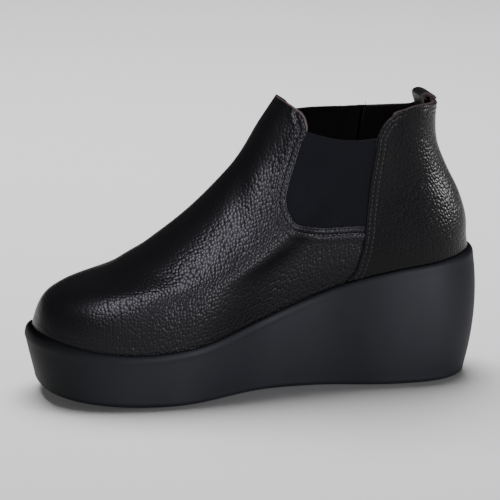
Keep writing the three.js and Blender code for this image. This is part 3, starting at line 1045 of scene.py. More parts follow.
@dataclass(frozen=True)
class FinePores:
    """Even skin with fine pores: a smooth leather, a cut edge, a lining or a thread.

    The tone is the scale of the noise that colours it, where that isn't the pores.
    """

    name: str
    dark: Colour
    light: Colour
    pores: Grain
    roughness: tuple[float, float]
    tone: float | None = None
    stretch: tuple[float, float, float] = (1, 1, 1)
    reflectance: float = 0.5

    def material(self) -> bpy.types.Material:
        """Builds the material.

        Returns:
            The material.
        """
        n = Nodes(self.name)
        place = n.place(self.stretch)
        pores = n.grain(place, self.pores)
        tone = pores if self.tone is None else n.noise(place, self.tone)
        return n.surface(
            Base_Color=n.ramp(tone, [(0.3, self.dark), (0.7, self.light)]),
            Roughness=n.span(pores, *self.roughness),
            Normal=n.bump(pores, self.pores.depth, self.pores.strength),
            Specular_IOR_Level=self.reflectance,
        )


SMOOTH_LEATHER = FinePores(
    "tab_leather", (0.0035, 0.003, 0.0028), (0.008, 0.0068, 0.0062), Grain(2400.0, 0.06, 0.7),
    (0.4, 0.55), tone=140.0, reflectance=0.3,
)
RAW_EDGE = FinePores(
    "leather_edge", (0.013, 0.008, 0.006), (0.04, 0.021, 0.016), Grain(1400.0, 0.15, 0.5, 4.0, 0.7),
    (0.55, 0.8),
)
LINING = FinePores(
    "dark_lining", (0.0008, 0.0008, 0.0008), (0.0016, 0.0015, 0.0015), Grain(2200.0, 0.08, 0.5),
    (0.75, 0.95), tone=60.0, reflectance=0.06,
)
THREAD = FinePores(
    "black_thread", (0.009, 0.009, 0.01), (0.03, 0.03, 0.033), Grain(2400.0, 0.1, 0.6, 2.0),
    (0.4, 0.6), stretch=(1, 1, 3),
)


@dataclass(frozen=True)
class RibbedElastic:
    """Knitted elastic with fine ribs running down, read from the piece's own UV map in millimetres."""

    name: str = "ribbed_elastic"
    rib: float = 1.1
    rung: float = 0.55
    drift: float = 0.35
    wander: float = 0.5
    rib_share: float = 0.75
    knit: tuple[float, float] = (0.28, 0.8)
    fuzz: Grain = Grain(3500.0, 0.08, 0.6)
    knit_tone: float = 0.6
    broad_tone: float = 55.0
    roughness: tuple[float, float] = (0.75, 0.95)
    reflectance: float = 0.1
    sheen_weight: float = 0.02
    dark: Colour = (0.0027, 0.0031, 0.0041)
    light: Colour = (0.0054, 0.0061, 0.008)
    sheen: Colour = (0.6, 0.65, 0.75)

    def material(self) -> bpy.types.Material:
        """Builds the material.

        Returns:
            The material.
        """
        n = Nodes(self.name)
        uv = n.uv()
        axes = n.add("ShaderNodeSeparateXYZ", {0: uv}).outputs
        along = n.math("ADD", axes[0], n.math("MULTIPLY", n.noise(uv, self.drift), self.wander))
        ribs, rungs = (
            n.math("ABSOLUTE", n.math("SINE", n.math("MULTIPLY", value, math.pi / pitch)))
            for value, pitch in ((along, self.rib), (axes[1], self.rung))
        )
        knit = n.blend(ribs, self.rib_share, n.math("MULTIPLY", rungs, ribs), 1 - self.rib_share)
        fuzz = n.grain(n.place(), self.fuzz)
        tone = n.blend(knit, self.knit_tone, n.noise(n.place(), self.broad_tone), 1 - self.knit_tone)
        return n.surface(
            Base_Color=n.ramp(tone, [(0.15, self.dark), (0.85, self.light)]),
            Roughness=n.span(fuzz, *self.roughness), Specular_IOR_Level=self.reflectance,
            Normal=n.bump(fuzz, self.fuzz.depth, self.fuzz.strength, n.bump(knit, *self.knit)),
            Sheen_Weight=self.sheen_weight, Sheen_Roughness=0.5, Sheen_Tint=(*self.sheen, 1),
        )


@dataclass(frozen=True)
class MouldedSole:
    """Matt black moulded foam with a fine even skin."""

    name: str = "moulded_sole"
    broad: Grain = Grain(22.0, 0.8, 0.15, 4.0)
    skin: Grain = Grain(2600.0, 0.06, 0.6, 4.0, 0.6)
    roughness: tuple[float, float] = (0.5, 0.68)
    reflectance: float = 0.14
    dark: Colour = (0.0072, 0.0075, 0.0085)
    light: Colour = (0.0105, 0.0108, 0.0122)

    def material(self) -> bpy.types.Material:
        """Builds the material.

        Returns:
            The material.
        """
        n = Nodes(self.name)
        broad = n.grain(n.place((1, 1, 0.5)), self.broad)
        skin = n.grain(n.place(), self.skin)
        under = n.bump(broad, self.broad.depth, self.broad.strength)
        return n.surface(
            Base_Color=n.ramp(broad, [(0.3, self.dark), (0.75, self.light)]),
            Roughness=n.span(n.blend(skin, 0.5, broad, 0.5), *self.roughness),
            Normal=n.bump(skin, self.skin.depth, self.skin.strength, under),
            Specular_IOR_Level=self.reflectance,
        )


@dataclass(frozen=True)
class Finishes:
    """Materials of the boot, one for each kind of surface."""

    leather: bpy.types.Material = field(default_factory=PebbledLeather().material)
    lining: bpy.types.Material = field(default_factory=LINING.material)
    edge: bpy.types.Material = field(default_factory=RAW_EDGE.material)
    elastic: bpy.types.Material = field(default_factory=RibbedElastic().material)
    thread: bpy.types.Material = field(default_factory=THREAD.material)
    sole: bpy.types.Material = field(default_factory=MouldedSole().material)
    sock: bpy.types.Material = field(default_factory=replace(LINING, name="sock_lining").material)
    tab: bpy.types.Material = field(default_factory=SMOOTH_LEATHER.material)


@dataclass
class Upper:
    """The hollow leather shell: vamp and front panel in one, and the counter under the heel quarter.

    Widths, walls and heights are in millimetres; t and v are places on the form.
    """

    finishes: Finishes
    skin_map: SkinMap
    stitching: Stitching
    columns: int = 150
    edge_rows: int = 37
    edge_share: float = 0.14
    edge_crowding: float = 1.3
    plain_rows: int = 56
    plain_crowding: float = 1.15
    foot_shares: tuple[float, ...] = (0.0, 0.22, 0.6, 1.0)
    foot_v: tuple[float, ...] = (math.pi, 2.72, 2.1, 1.0)
    counter_columns: int = 60
    counter_rows: int = 40
    counter_t: float = 0.85
    counter_v: float = 1.2
    wall: float = 2.0
    tuck: float = 3.4
    profile: EdgeProfile = EdgeProfile(0.9, ((1.75, 0.16, 0.35), (4.3, 0.55, 0.75)), (0.35, 6.6, 1.8))
    pressed_from: float = 0.2
    sewn: tuple[float, float] = (0.21, 0.93)
    stitch_sink: float = 0.16
    raw_above: float = 138.0
    raw_width: float = 1.0
    raw_from: float = 0.8
    fold_clearance: float = 8.0
    flat_foot: float = 0.02
    folds: tuple[Fold, ...] = (
        Fold(-0.35, 168, 5, 14, 0, Along.UP, 0.3, 0.22),
        Fold(0.3, 177, 6, 14, 0, Along.UP, 0.3, 0.2),
        Fold(-0.4, 150, 5, 0, 26, Along.ROUND, 2.5, 0.5),
        Fold(0.35, 141, 6, 0, 26, Along.ROUND, 2.5, 0.45),
    )
    edges: dict[Side, Path] = field(init=False)

    def __post_init__(self) -> None:
        """Runs the free edge of each side, from the middle of the front collar to the seam."""
        self.edges = {
            side: Path(curve_through([*FRONT_COLLAR, *NOTCH[side], *PANEL_EDGE])) for side in Side
        }

    def down_rows(self) -> np.ndarray:
        """Spaces the vamp's rows.

        Returns:
            Shares down from the edge, close together beside it.
        """
        near = self.edge_share * np.linspace(0, 1, self.edge_rows) ** self.edge_crowding
        far = (1 - self.edge_share) * np.linspace(0, 1, self.plain_rows)[1:] ** self.plain_crowding
        return np.concatenate([near, self.edge_share + far])

    def vamp_place(self, side: Side) -> Place:
        """Rules the vamp from its free edge down to the feather edge.

        Args:
            side: side of the foot.

        Returns:
            Function that gives places for shares along the edge and down from it.
        """
        edge = self.edges[side]

        def place(u: np.ndarray, w: np.ndarray) -> np.ndarray:
            """Gives places of the vamp.

            Args:
                u: shares along the edge.
                w: shares down from it.

            Returns:
                Rows of t and v.
            """
            top = edge.at(u)
            foot = np.stack([np.zeros_like(u), np.interp(u, self.foot_shares, self.foot_v)], axis=-1)
            on_seam = self.seam_v(edge.at(np.ones_like(u))[:, 0])
            top[:, 1] = np.where(u >= 1, on_seam, top[:, 1])
            return top + (foot - top) * w[:, None]

        return place

    def seam_v(self, t: np.ndarray) -> np.ndarray:
        """Angle of the hidden seam line under the heel quarter."""
        return self.foot_v[-1] + (self.counter_v - self.foot_v[-1]) * t / self.counter_t

    def counter_place(self, side: Side) -> Place:
        """Rules the counter from the collar down to the feather edge.

        Args:
            side: side of the foot.

        Returns:
            Function that gives places for shares from the back and down from the collar.
        """
        knee = curve_through([*QUARTER_KNEE[side], *QUARTER_TOP[side][1:]])
        inside = knee[knee[:, 1] < self.counter_v]
        line = Path(np.vstack([[self.counter_t, self.counter_v], inside])[::-1])

        def place(u: np.ndarray, w: np.ndarray) -> np.ndarray:
            """Gives places of the counter.

            Args:
                u: shares from the back.
                w: shares down from the collar.

            Returns:
                Rows of t and v.
            """
            top = line.at(u)
            foot = np.stack([np.zeros_like(u), self.foot_v[-1] * u], axis=-1)
            return top + (foot - top) * w[:, None]

        return place

    def build(self) -> list[bpy.types.Object]:
        """Builds the shell and its stitches.

        Returns:
            The two pieces.
        """
        bench = Bench()
        down = self.down_rows()
        for side in Side:
            bench.patch(np.linspace(0, 1, self.columns + 1), down, self.vamp_place(side), side)
            edge_end = self.edges[side].at(np.array([1.0]))[0, 0]
            seam_rows = 1 - edge_end * (1 - down) / self.counter_t
            above = np.linspace(0, seam_rows[0], self.counter_rows)[:-1]
            rows = np.concatenate([above, seam_rows])
            bench.patch(np.linspace(0, 1, self.counter_columns), rows, self.counter_place(side), side)
        bench.close()
        foot = [e for e in bench.bm.edges if e.is_boundary and all(v[bench.t] < FOOT_T for v in e.verts)]
        made = bmesh.ops.extrude_edge_only(bench.bm, edges=foot)
        new = [g for g in made["geom"] if isinstance(g, bmesh.types.BMVert)]
        bmesh.ops.translate(bench.bm, verts=new, vec=(0, 0, -self.tuck * MM))
        shell = as_object("upper_leather", bench.bm)
        dress(shell, self.finishes.leather, self.finishes.lining, self.finishes.edge)
        count = len(shell.data.vertices)
        thicken(shell, self.wall)
        self.shape(shell, count)
        self.skin_map.lay(shell, along_foot=True)
        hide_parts("upper")
        share = np.linspace(*self.sewn, 400)
        rows = [
            (Path(edge.beside(-row[0]).at(share)), side)
            for side, edge in self.edges.items() for row in self.profile.rows
        ]
        return [shell, self.stitching.sew("panel_stitches", rows, -self.stitch_sink)]

    def shape(self, shell: bpy.types.Object, count: int) -> None:
        """Presses the edges, the stitch rows and the soft folds into the outer skin.

        Args:
            shell: the thickened shell.
            count: how many of its vertices, from the first, are the outer skin's.
        """
        t, v = (values[:count] for values in read_places(shell.data))
        plain = LAST.skin(t, v)
        lines, pressed_lines = [], []
        for side, edge in self.edges.items():
            line = LAST.skin(edge.places[:, 0], edge.places[:, 1] * side.value)
            lines.append(line)
            pressed_lines.append(line[int(len(line) * self.pressed_from):])
        distance = edge_distance(plain, lines)
        x = LAST.point(t, v)[:, 0]
        soft = sum(fold.height_at(x, t, np.abs(v)) for fold in self.folds)
        pressed = self.profile.height(edge_distance(plain, pressed_lines))
        height = pressed + soft * ease(distance / self.fold_clearance)
        height = np.where(t < FOOT_T, 0.0, height * np.clip(t / self.flat_foot, 0, 1))
        set_heights(shell, count, height)
        plain_below(shell, self.raw_above)
        for face in shell.data.polygons:
            corners = [i for i in face.vertices if i < count]
            if len(corners) < len(face.vertices):
                continue
            if max(distance[corners]) < self.raw_width and min(t[corners]) > self.raw_from:
                face.material_index = Slot.EDGE.value


@dataclass
class HeelQuarter:
    """Leather laid over the back of the boot and the rear edges of the side panels, in millimetres."""

    finishes: Finishes
    skin_map: SkinMap
    stitching: Stitching
    lift: float = 1.5
    thickness: float = 1.2
    edge_share: float = 0.86
    columns: tuple[int, int] = (52, 26)
    top_share: float = 0.07
    rows: tuple[int, int] = (16, 90)
    raw_above: float = 136.0
    profile: EdgeProfile = EdgeProfile(0.8, ((2.2, 0.18, 0.4), (4.9, 0.2, 0.45)), (0.14, 3.5, 0.7))
    sewn: tuple[float, float] = (0.03, 0.97)
    stitch_sink: float = 0.14

    def lines_of(self, side: Side) -> tuple[Path, Path, Path, Path]:
        """Runs the lines round one half.

        Args:
            side: side of the foot.

        Returns:
            Front, back, top and foot lines, the first two running down.
        """
        front = Path(curve_through([*QUARTER_EDGE, *QUARTER_KNEE[side]])[::-1])
        top = Path(curve_through(QUARTER_TOP[side])[::-1])
        share = np.linspace(0, 1, 60)
        back_top = top.places[0, 0]
        foot_t = QUARTER_EDGE[0][0]
        back = Path(np.stack([back_top + (foot_t - back_top) * share, 0 * share], axis=-1))
        foot = Path(np.stack([0 * share + foot_t, front.places[-1, 1] * share], axis=-1))
        return front, back, top, foot

    def build(self) -> list[bpy.types.Object]:
        """Builds the quarter and its two rows of stitches.

        Returns:
            The two pieces.
        """
        bench = Bench()
        across, down = (
            np.concatenate([np.linspace(0, share, near), np.linspace(share, 1, far)[1:]])
            for share, (near, far) in ((self.edge_share, self.columns), (self.top_share, self.rows))
        )
        lines, rows = [], []
        for side in Side:
            front, back, top, foot = self.lines_of(side)
            bench.patch(across, down, spread(back, front, top, foot), side)
            edge = np.vstack([front.places[::-1], top.places[::-1]])
            lines.append(LAST.skin(edge[:, 0], edge[:, 1] * side.value))
            for row in self.profile.rows:
                rows.append((Path(front.beside(row[0]).at(np.linspace(*self.sewn, 300))), side))
        bench.close()
        shell = as_object("heel_quarter_leather", bench.bm)
        dress(shell, self.finishes.leather, self.finishes.lining, self.finishes.edge)
        count = len(shell.data.vertices)
        set_heights(shell, count, np.full(count, self.lift))
        thicken(shell, self.thickness)
        plain_below(shell, self.raw_above)
        t, v = (values[:count] for values in read_places(shell.data))
        set_heights(shell, count, self.profile.height(edge_distance(LAST.skin(t, v), lines)))
        self.skin_map.lay(shell, along_foot=False)
        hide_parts("heel_quarter")
        return [shell, self.stitching.sew("quarter_stitches", rows, self.lift - self.stitch_sink)]


@dataclass
class SidePanel:
    """Elastic panel in the opening between the vamp and the heel quarter, in millimetres."""

    side: Side
    finishes: Finishes
    sink: float = 0.5
    thickness: float = 1.4
    size: tuple[float, float] = (52.0, 62.0)
    net: tuple[int, int] = (70, 80)
    edge_round: float = 0.3
    raw_slope: float = 0.5

    def build(self) -> list[bpy.types.Object]:
        """Builds the panel.

        Returns:
            The piece, in a list.
        """
        edge = curve_through([*NOTCH[self.side][-1:], *PANEL_EDGE])
        corner = len(edge) // 2
        front, foot = Path(edge[: corner + 1]), Path(edge[corner:])
        top = Path(curve_through(PANEL_TOP[self.side]))
        share = np.linspace(0, 1, 40)[:, None]
        rear = Path(top.places[-1] + (foot.places[-1] - top.places[-1]) * share)
        bench = Bench()
        across, down = (np.linspace(0, 1, count) for count in self.net)
        bench.patch(across, down, spread(front, rear, top, foot), self.side, self.size)
        bench.close()
        name = "side_panel_" + self.side.name.lower()
        panel = as_object(name + "_elastic", bench.bm)
        dress(panel, self.finishes.elastic, self.finishes.lining, self.finishes.edge)
        count = len(panel.data.vertices)
        set_heights(panel, count, np.full(count, -self.sink))
        thicken(panel, self.thickness)
        for face in panel.data.polygons:
            if face.material_index == Slot.EDGE.value and face.normal.z < self.raw_slope:
                face.material_index = Slot.INSIDE.value
        round_edges(panel, self.edge_round)
        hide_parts(name)
        return [panel]


@dataclass
class Sole:
    """Platform, wedge and heel moulded as one, with its rolled rim and grooved tread, in millimetres."""

    finishes: Finishes
    rim: tuple[float, float, float] = (2.6, 3.9, 4.8)
    rim_round: tuple[float, float, float] = (2.6, 5.0, 3.0)
    crown: float = 0.8
    lip: float = 0.3
    land: float = 1.0
    neck: float = 0.1
    neck_below: float = 2.2
    neck_widths: tuple[float, float] = (1.1, 4.5)
    swell: float = 3.4
    wall_steps: int = 40
    wall_crowding: float = 1.5
    floor_edge: float = 3.5
    floor_steps: int = 12
    rim_steps: int = 16
    ends_power: int = 6
    spring: float = 6.5
    spring_from: float = 0.7
    gap: float = 0.3
    cup: float = 4.0
    groove_width: float = 2.6
    groove_depth: float = 1.6
    groove_round: float = 1.2
    grooves: tuple[tuple[float, float, int], ...] = ((0.55, 0.85, 8), (0.07, 0.27, 6))
    margin: float = 8.0
    around: int = 224
    sharp: float = 35.0

    def round_value(self, v: np.ndarray, sizes: tuple[float, float, float]) -> np.ndarray:
        """Spreads a size round the loop.

        Args:
            v: angles round the foot.
            sizes: the size at the sides, the toe and the heel.

        Returns:
            The size at each angle.
        """
        side, toe, heel = sizes
        toeward = np.maximum(-np.cos(v), 0) ** self.ends_power
        heelward = np.maximum(np.cos(v), 0) ** self.ends_power
        return side + (toe - side) * toeward + (heel - side) * heelward

    def tread(self, x: np.ndarray) -> np.ndarray:
        """Height of the tread above the floor."""
        start, end = self.spring_from * LAST.length, FLOOR_OUTLINE[3] * LAST.length
        return self.spring * np.maximum((x - start) / (end - start), 0) ** 2

    def floor_point(self, v: np.ndarray) -> np.ndarray:
        """Reads the floor outline.

        Args:
            v: angles round the foot.

        Returns:
            Points in millimetres of the last, level ones.
        """
        a = 0.5 - 0.5 * np.cos(v)
        side = np.where(np.sin(v) >= 0, 1, -1)
        row = np.broadcast_to(FLOOR_OUTLINE, (*v.shape, len(FLOOR_OUTLINE)))
        x = (row[..., 1] + (row[..., 3] - row[..., 1]) * a) * LAST.length
        return np.stack([x, side * LAST.half_width(row, a, side > 0)], axis=-1)

    def floor_loop(self, v: np.ndarray, inset: float, lift: float) -> np.ndarray:
        """Moves the floor outline.

        Args:
            v: angles round the foot.
            inset: how far it moves in.
            lift: how far it moves up from the tread.

        Returns:
            Points in millimetres of the last.
        """
        run = self.floor_point(v + LAST.nudge) - self.floor_point(v - LAST.nudge)
        run /= np.linalg.norm(run, axis=-1, keepdims=True)
        flat = self.floor_point(v) + np.stack([run[:, 1], -run[:, 0]], axis=-1) * inset
        return np.column_stack([flat, self.tread(flat[:, 0]) + lift])

    def loops(self, v: np.ndarray) -> list[np.ndarray]:
        """Runs the loops of the whole skin.

        Args:
            v: angles round the foot.

        Returns:
            Loops from the middle of the tread round to the middle of the cup.
        """
        made = []
        for k in range(self.floor_steps + 1):
            turn = math.pi / 2 * k / self.floor_steps
            inset, lift = self.floor_edge * (1 - math.sin(turn)), self.floor_edge * (1 - math.cos(turn))
            made.append(self.floor_loop(v, inset, lift))
        foot = made[-1]
        proud, rounding = self.round_value(v, self.rim), self.round_value(v, self.rim_round)
        top = LAST.rim_loop(v, proud, -rounding)
        out = LAST.normal(np.zeros_like(v), v) * np.array([1, 1, 0])
        out /= np.linalg.norm(out, axis=-1, keepdims=True)
        drop = (top - foot)[:, 2]
        near, far = self.neck_widths
        for k in range(1, self.wall_steps):
            s = 1 - (1 - k / self.wall_steps) ** self.wall_crowding
            bulge = self.swell * np.maximum(np.cos(v), 0) * 4 * s * (1 - s)
            under = drop * (1 - s)
            width = np.where(under < self.neck_below, near, far)
            bulge = bulge - self.neck * bell(under, self.neck_below, width)
            made.append(foot + (top - foot) * s + out * bulge[:, None])
        for k in range(self.rim_steps + 1):
            turn = math.pi / 2 * k / self.rim_steps
            made.append(LAST.rim_loop(
                v, self.land + (proud - self.land) * math.cos(turn),
                -rounding + (rounding + self.crown) * math.sin(turn),
            ))
        made.append(LAST.rim_loop(v, self.gap + self.lip, self.crown))
        made.append(LAST.rim_loop(v, self.gap, self.crown - self.lip))
        made.append(LAST.rim_loop(v, self.gap, -self.cup))
        return [*shut(made[0])[::-1], *made, *shut(made[-1])]

    def bars(self) -> bpy.types.Object:
        """Makes the cutters of the tread's grooves.

        Returns:
            One object with a bar for each groove.
        """
        bm = bmesh.new()
        v = np.linspace(0.05, math.pi - 0.05, 200)
        for low, high, count in self.grooves:
            for x in np.linspace(low, high, count) * LAST.length:
                ends = [
                    sign * (abs(np.interp(x, *self.floor_point(sign * v).T)) - self.margin)
                    for sign in (1, -1)
                ]
                middle, span = sum(ends) / 2, ends[0] - ends[1]
                top = float(self.tread(np.array(x))) + self.groove_depth
                size = Matrix.Diagonal((self.groove_width * MM, span * MM, 2 * top * MM, 1))
                co = LAST.row_frame(np.array([x, middle, 0.0]))
                bmesh.ops.create_cube(bm, size=1, matrix=Matrix.Translation(co) @ size)
        least = self.groove_depth / 2 * MM
        corners = [e for e in bm.edges if abs(e.verts[0].co.z - e.verts[1].co.z) > least]
        bmesh.ops.bevel(
            bm, geom=corners, offset=self.groove_round * MM, offset_type="OFFSET", affect="EDGES",
            segments=3, profile=0.5, material=-1,
        )
        return as_object("tread_cutters", bm)

    def build(self) -> list[bpy.types.Object]:
        """Builds the sole.

        Returns:
            The piece, in a list.
        """
        v = np.arange(self.around) * 2 * math.pi / self.around
        sole = from_loops("wedge_sole", self.loops(v))
        cutters = self.bars()
        cut = sole.modifiers.new("tread", "BOOLEAN")
        cut.operation = "DIFFERENCE"
        cut.solver = "EXACT"
        cut.object = cutters
        settle(sole)
        bpy.data.objects.remove(cutters)
        sole.data.set_sharp_from_angle(angle=math.radians(self.sharp))
        sole.data.materials.clear()
        dress(sole, self.finishes.sole)
        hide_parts("sole")
        return [sole]


@dataclass
class Insole:
    """Board with its sock lining, in the cup of the sole, in millimetres."""

    finishes: Finishes
    edge: float = -2.3
    low: float = -3.7
    thickness: float = 3.2
    underside_round: float = 0.5
    top_round: tuple[tuple[float, float], ...] = ((0.0, 0.8), (0.3, 0.25), (0.9, 0.0))
    around: int = 160

    def build(self) -> list[bpy.types.Object]:
        """Builds the insole.

        Returns:
            The piece, in a list.
        """
        v = np.arange(self.around) * 2 * math.pi / self.around
        high = self.low + self.thickness
        walls = [
            LAST.rim_loop(v, self.edge - self.underside_round, self.low),
            LAST.rim_loop(v, self.edge, self.low + self.underside_round),
        ]
        walls += [LAST.rim_loop(v, self.edge - inset, high - drop) for inset, drop in self.top_round]
        board = from_loops("insole_sock", [*shut(walls[0])[::-1], *walls, *shut(walls[-1])])
        dress(board, self.finishes.sock)
        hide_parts("insole")
        return [board]


@dataclass
class PullTab:
    """Folded strip over the back of the collar, in millimetres."""

    finishes: Finishes
    width: float = 16.0
    thickness: float = 1.8
    rise: float = 4.0
    lean: float = 3.0
    inside: float = 12.0
    root: float = 0.8
    arch: tuple[tuple[float, float], ...] = ((0.2, 0.65), (0.62, 1.0), (0.96, 0.85), (1.0, 0.35))
    leg: tuple[tuple[float, float], ...] = ((0.55, 0.25), (0.12, 0.65), (0.0, 1.0))
    plies: tuple[float, ...] = (1.85, 3.4)
    ply_inset: float = 0.6
    arch_share: float = 0.6
    least_reach: float = 0.1
    columns: int = 12
    edge_round: float = 0.35

    def middle_line(self) -> np.ndarray:
        """Runs the middle line of the strip in side view.

        Returns:
            Points forward and up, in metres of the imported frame.
        """
        low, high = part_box("pull_tab")
        top = high.z / MM - self.rise - self.thickness / 2
        edge = low.x / MM + self.thickness / 2
        lining = high.x / MM - self.thickness / 2 - self.lean
        span = lining + self.lean - edge
        rows = [(edge, top + self.root)]
        rows += [(edge + span * forward, top + self.rise * up) for forward, up in self.arch]
        rows += [(lining + self.lean * lean, top - self.inside * drop) for lean, drop in self.leg]
        return cubic_line(np.array(rows), 10) * MM

    def ply(self, bm: bmesh.types.BMesh, line: np.ndarray, middle: float, width: float) -> None:
        """Lays one ply of the strip.

        Args:
            bm: mesh that it goes into.
            line: its line in side view, in metres.
            middle: middle of its width, in metres.
            width: its width in millimetres.
        """
        made = bmesh.ops.create_grid(bm, x_segments=len(line) - 1, y_segments=self.columns, size=0.5)
        for vert in made["verts"]:
            i = round((vert.co.x + 0.5) * (len(line) - 1))
            vert.co = (line[i, 0], middle + vert.co.y * width * MM, line[i, 1])

    def build(self) -> list[bpy.types.Object]:
        """Builds the strip, with its turned-in plies under the arch.

        Returns:
            The piece, in a list.
        """
        line = self.middle_line()
        low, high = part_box("pull_tab")
        middle = (low.y + high.y) / 2
        bm = bmesh.new()
        self.ply(bm, line, middle, self.width)
        bmesh.ops.recalc_face_normals(bm, faces=bm.faces[:])
        arch = line[: int(len(line) * self.arch_share)]
        away = arch - (arch[0] + arch[-1]) / 2
        reach = np.linalg.norm(away, axis=1, keepdims=True)
        for ply in self.plies:
            inner = arch - away + away * np.maximum(reach - ply * MM, self.least_reach * MM) / reach
            self.ply(bm, inner, middle, self.width - self.ply_inset)
        strip = as_object("pull_tab_strip", bm)
        dress(strip, self.finishes.tab, self.finishes.edge)
        solid = strip.modifiers.new("wall", "SOLIDIFY")
        solid.thickness = self.thickness * MM
        solid.offset = 0
        solid.material_offset_rim = 1
        settle(strip)
        round_edges(strip, self.edge_round)
        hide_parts("pull_tab")
        return [strip]


@dataclass(frozen=True)
class Lamp:
    """One soft light, for one group of pieces.

    Turn is in degrees from the inner side towards the toe, rise in degrees above the boot's middle;
    the distance and the size are in metres, the power in watts.
    """

    name: str
    group: str
    turn: float
    rise: float
    away: float
    size: tuple[float, float]
    power: float
    colour: tuple[float, float, float] = (0.95, 0.93, 1.06)
    shadow: bool = True


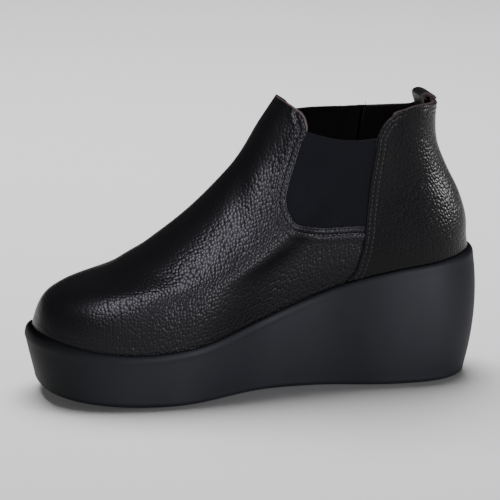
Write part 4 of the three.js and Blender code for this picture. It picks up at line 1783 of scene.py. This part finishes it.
@dataclass(frozen=True)
class Studio:
    """Plain pale floor, soft lights and the camera, in metres and degrees."""

    target: tuple[float, float, float] = (0.00018, 0.00115, 0.08)
    yaw: float = 14.0
    elevation: float = 14.0
    distance: float = 1.8
    lens: float = 232.9
    sensor: float = 36.0
    shift: tuple[float, float] = (-0.0027, -0.0184)
    clip: tuple[float, float] = (0.05, 50.0)
    world: float = 0.06
    floor_reach: float = 6.0
    floor_greys: tuple[float, float] = (0.86, 0.88)
    floor_glow: float = 0.05
    lamps: tuple[Lamp, ...] = (
        Lamp("key", "shell", 38, 60, 1.6, (0.5, 0.5), 34),
        Lamp("low_key", "shell", 28, 36, 1.6, (0.34, 0.4), 10),
        Lamp("even", "panels", 16, 34, 2.2, (0.6, 0.6), 75, (0.95, 0.95, 1.05), False),
        Lamp("edge", "vamp", -74, 20, 1.4, (0.16, 0.3), 9, shadow=False),
        Lamp("side", "vamp", -32, 7, 1.6, (0.5, 0.26), 25),
        Lamp("front", "vamp", 10, 12, 2.4, (0.4, 0.3), 7),
        Lamp("rear", "back", -84, 19, 1.3, (0.3, 0.16), 18, (1, 1, 1)),
        Lamp("low_rear", "back", -30, 5, 1.6, (0.5, 0.16), 2.5),
        Lamp("sole_fill", "sole", -24, 4, 1.6, (0.5, 0.2), 36, (0.94, 0.95, 1.08)),
        Lamp("floor_wash", "floor", 180, 68, 1.7, (1.4, 1.4), 52, (1, 1, 1)),
    )

    def floor(self) -> bpy.types.Object:
        """Lays the floor, which runs out to the horizon.

        Returns:
            The floor.
        """
        bm = bmesh.new()
        bmesh.ops.create_grid(bm, x_segments=1, y_segments=1, size=self.floor_reach)
        floor = as_object("studio_floor", bm)
        n = Nodes("studio_floor")
        tones = [(at, (grey, grey, grey)) for at, grey in zip((0.0, 1.0), self.floor_greys)]
        colour = n.ramp(n.noise(n.place(), 3.0), tones)
        dress(floor, n.surface(
            Base_Color=colour, Roughness=0.9, Specular_IOR_Level=0.1, Emission_Color=(1, 1, 1, 1),
            Emission_Strength=self.floor_glow,
        ))
        return floor

    def hang(self, lamp: Lamp, group: bpy.types.Collection) -> None:
        """Hangs a lamp, aimed at the boot's middle.

        Args:
            lamp: its place, size and power.
            group: the objects that it lights.
        """
        data = bpy.data.lights.new(lamp.name, "AREA")
        data.shape = "RECTANGLE"
        data.size, data.size_y = lamp.size
        data.energy = lamp.power
        data.color = lamp.colour
        data.use_shadow = lamp.shadow
        obj = bpy.data.objects.new(lamp.name, data)
        to = -self.towards(lamp.turn, lamp.rise) * lamp.away
        obj.location = Vector(self.target) - to
        obj.rotation_euler = to.to_track_quat("-Z", "Y").to_euler()
        obj.light_linking.receiver_collection = group
        bpy.context.scene.collection.objects.link(obj)

    @staticmethod
    def towards(turn: float, rise: float) -> Vector:
        """Direction from the boot, turned from the inner side towards the toe and raised, in degrees."""
        yaw, up = math.radians(turn), math.radians(rise)
        return Vector((math.sin(yaw) * math.cos(up), math.cos(yaw) * math.cos(up), math.sin(up)))

    def groups(self, pieces: list[bpy.types.Object]) -> dict[str, bpy.types.Collection]:
        """Sorts the pieces by the lamps that light them.

        Args:
            pieces: the boot's pieces.

        Returns:
            A collection for each group of pieces, and one for the floor.
        """
        named = {piece.name: piece for piece in pieces}
        panels = [piece for name, piece in named.items() if "elastic" in name]
        sole = named["wedge_sole"]
        members = {
            "floor": [self.floor()],
            "sole": [sole],
            "panels": panels,
            "vamp": [named["upper_leather"], named["panel_stitches"]],
            "back": [piece for name, piece in named.items() if "quarter" in name or "tab" in name],
            "shell": [piece for piece in pieces if piece != sole and piece not in panels],
        }
        made = {}
        for name, objects in members.items():
            made[name] = bpy.data.collections.new("lit_" + name)
            for obj in objects:
                made[name].objects.link(obj)
        return made

    def build(self, pieces: list[bpy.types.Object]) -> None:
        """Sets up floor, world, lights and camera.

        Args:
            pieces: the boot's pieces.
        """
        groups = self.groups(pieces)
        world = bpy.data.worlds.new("studio")
        world.use_nodes = True
        world.node_tree.nodes["Background"].inputs["Color"].default_value = (1, 1, 1, 1)
        world.node_tree.nodes["Background"].inputs["Strength"].default_value = self.world
        bpy.context.scene.world = world
        for lamp in self.lamps:
            self.hang(lamp, groups[lamp.group])
        back = self.towards(self.yaw, self.elevation)
        data = bpy.data.cameras.new("camera")
        data.lens = self.lens
        data.sensor_width = self.sensor
        data.shift_x, data.shift_y = self.shift
        data.clip_start, data.clip_end = self.clip
        camera = bpy.data.objects.new("camera", data)
        camera.location = Vector(self.target) + back * self.distance
        camera.rotation_euler = (-back).to_track_quat("-Z", "Y").to_euler()
        bpy.context.scene.collection.objects.link(camera)
        bpy.context.scene.camera = camera


def main() -> None:
    """Builds the boot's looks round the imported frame."""
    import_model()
    finishes = Finishes()
    skin_map = SkinMap()
    stitching = Stitching(finishes.thread)
    pieces = []
    for assembly in (
        Sole(finishes),
        Insole(finishes),
        Upper(finishes, skin_map, stitching),
        HeelQuarter(finishes, skin_map, stitching),
        SidePanel(Side.INNER, finishes),
        SidePanel(Side.OUTER, finishes),
        PullTab(finishes),
    ):
        for piece in assembly.build():
            pieces.append(piece)
            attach(piece, "root")
            triangles = sum(len(face.vertices) - 2 for face in piece.data.polygons)
            log.info("%s: %d triangles", piece.name, triangles)
    Studio().build(pieces)


if __name__ == "__main__":
    main()
